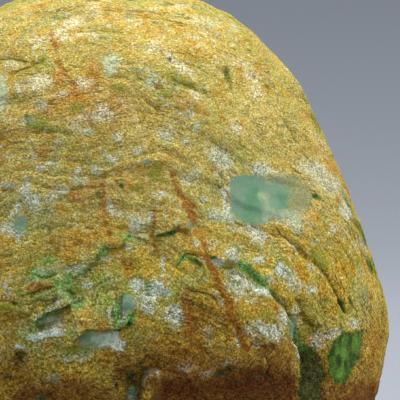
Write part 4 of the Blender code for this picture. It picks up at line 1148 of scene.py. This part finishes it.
def stone_material():
    material = bpy.data.materials.new("jade_skin")
    material.use_nodes = True
    tree = material.node_tree
    shader = tree.nodes["Principled BSDF"]
    place = tree.nodes.new("ShaderNodeTexCoord").outputs["Object"]
    grain, tint, from_middle = cells(tree, place, 0.8)
    fine = cloud(tree, place, 0.8, 2, 0.6, 0, 1.8)
    small = cloud(tree, place, 2.8, 2, 0.6, 1, 1.8)
    patchy = cloud(tree, place, 6, 3, 0.65, 10, 2.6)
    grit = calc(tree, "MULTIPLY_ADD", tint, 0.08, calc(tree, "MULTIPLY", small, 0.2))
    grit = calc(tree, "MULTIPLY_ADD", patchy, 0.72, grit)
    rough = calc(tree, "MULTIPLY_ADD", value_of(tree, "smooth"), -0.85, 1.0)

    split = tree.nodes.new("ShaderNodeSeparateXYZ")
    tree.links.new(place, split.inputs[0])
    height = split.outputs[2]
    skin = minerals_on(tree, bare_skin(tree, place, height, grit), place, height, grit, fine)
    cracked_and_shaded = cracks_and_shade(tree, place, rough, small)
    # Dark hairline cracks, and painted shade along the drawn cracks and under the ledges' lips.
    skin = blend(tree, calc(tree, "MULTIPLY", cracked_and_shaded, 0.85), skin, linear("crack_and_shade"))
    coarse = calc(tree, "MULTIPLY_ADD", stepped(tree, height, 122 * MM, 52 * MM), 0.9, 0.95)
    grain_and_shade = grain_tone_and_shade(tree, grain, from_middle, fine, calc(tree, "MULTIPLY", rough, coarse))
    tree.links.new(grained(tree, skin, grain_and_shade), shader.inputs["Base Color"])

    roughness = calc(tree, "MULTIPLY_ADD", value_of(tree, "smooth"), -0.38, 0.85)
    tree.links.new(roughness, shader.inputs["Roughness"])
    shader.inputs["Specular IOR Level"].default_value = 0.15
    bumps = calc(tree, "MULTIPLY_ADD", from_middle, -0.6, calc(tree, "MULTIPLY_ADD", cracked_and_shaded, -0.8, fine))
    bump = tree.nodes.new("ShaderNodeBump")
    join(tree, bump, {"Height": bumps, "Strength": calc(tree, "MULTIPLY", rough, 0.9), "Distance": 0.5 * MM})
    tree.links.new(bump.outputs[0], shader.inputs["Normal"])
    return material


# ---------------------------------------------------------------------------------------------------------
# The stage: floor, backdrop, lights and camera
# ---------------------------------------------------------------------------------------------------------

SIGHT, AIM = SIGHTS["front"]
FRAME_WIDTH = 160  # millimetres across the picture, where the stone's axis stands
SENSOR = 36


def plain_material(name, colour):
    material = bpy.data.materials.new(name)
    material.use_nodes = True
    shader = material.node_tree.nodes["Principled BSDF"]
    shader.inputs["Base Color"].default_value = colour
    shader.inputs["Roughness"].default_value = 0.9
    return material


def make_stage(collection):
    """A pale floor that sweeps up behind the stone, low enough to look over from the back."""
    flat_until, bend, rise, width, steps = 800, 1400, math.radians(40), 6000, 12
    profile = [(-2400, 0), (flat_until, 0)]
    profile += [
        (flat_until + bend * math.sin(turn), bend - bend * math.cos(turn))
        for turn in (rise * step / steps for step in range(1, steps + 1))
    ]
    sweep = bmesh.new()
    rows = [[sweep.verts.new((x * MM, y * MM, z * MM)) for x in (-width / 2, width / 2)] for y, z in profile]
    for (a, b), (c, d) in zip(rows, rows[1:]):
        sweep.faces.new((a, b, d, c))
    mesh = bpy.data.meshes.new("backdrop")
    sweep.to_mesh(mesh)
    sweep.free()
    mesh.shade_smooth()
    mesh.materials.append(plain_material("backdrop", (0.37, 0.405, 0.46, 1)))
    backdrop = bpy.data.objects.new("backdrop", mesh)
    collection.objects.link(backdrop)


def aimed(thing, place, aim):
    """Puts a light or the camera at a place and turns it to look at another."""
    place, aim = np.array(place, float), np.array(aim, float)
    toward = (aim - place) / np.linalg.norm(aim - place)
    thing.location = place * MM
    pitch = math.acos(-toward[2])
    thing.rotation_euler = (pitch, 0, math.atan2(-toward[0], toward[1]))


def make_light(collection, name, place, aim, size, watts, colour):
    lamp = bpy.data.lights.new(name, "AREA")
    lamp.shape = "RECTANGLE"
    lamp.size, lamp.size_y = (side * MM for side in size)
    lamp.energy = watts
    lamp.color = colour
    light = bpy.data.objects.new(name, lamp)
    collection.objects.link(light)
    aimed(light, place, aim)


def make_camera(collection):
    lens = bpy.data.cameras.new("camera")
    lens.sensor_width = SENSOR
    lens.lens = SENSOR * math.dist(SIGHT, AIM) / FRAME_WIDTH
    lens.clip_start = 0.05
    camera = bpy.data.objects.new("camera", lens)
    collection.objects.link(camera)
    aimed(camera, SIGHT, AIM)
    bpy.context.scene.camera = camera


def make_world():
    world = bpy.data.worlds.new("studio")
    world.use_nodes = True
    background = world.node_tree.nodes["Background"]
    background.inputs["Color"].default_value = (0.80, 0.86, 1.0, 1)
    background.inputs["Strength"].default_value = 0.12
    bpy.context.scene.world = world


def main():
    stone = make_collection("stone")
    studio = make_collection("studio")
    make_camera(studio)
    make_stage(studio)
    make_world()
    middle = (0, 0, 110)
    make_light(studio, "overhead", (0, 0, 1100), middle, (1000, 1000), 16.5, (1.0, 0.99, 0.97))
    make_light(studio, "side", (1200, -300, 400), middle, (800, 800), 4.2, (1.0, 0.98, 0.95))
    make_light(studio, "front", (600, -1300, 900), middle, (800, 800), 2.2, (1.0, 0.98, 0.95))
    make_light(studio, "behind", (0, 780, 640), (0, 800, 0), (1800, 300), 2.5, (0.96, 0.98, 1.0))
    bpy.context.scene.view_settings.view_transform = "Standard"
    make_boulder(stone, stone_material())


main()
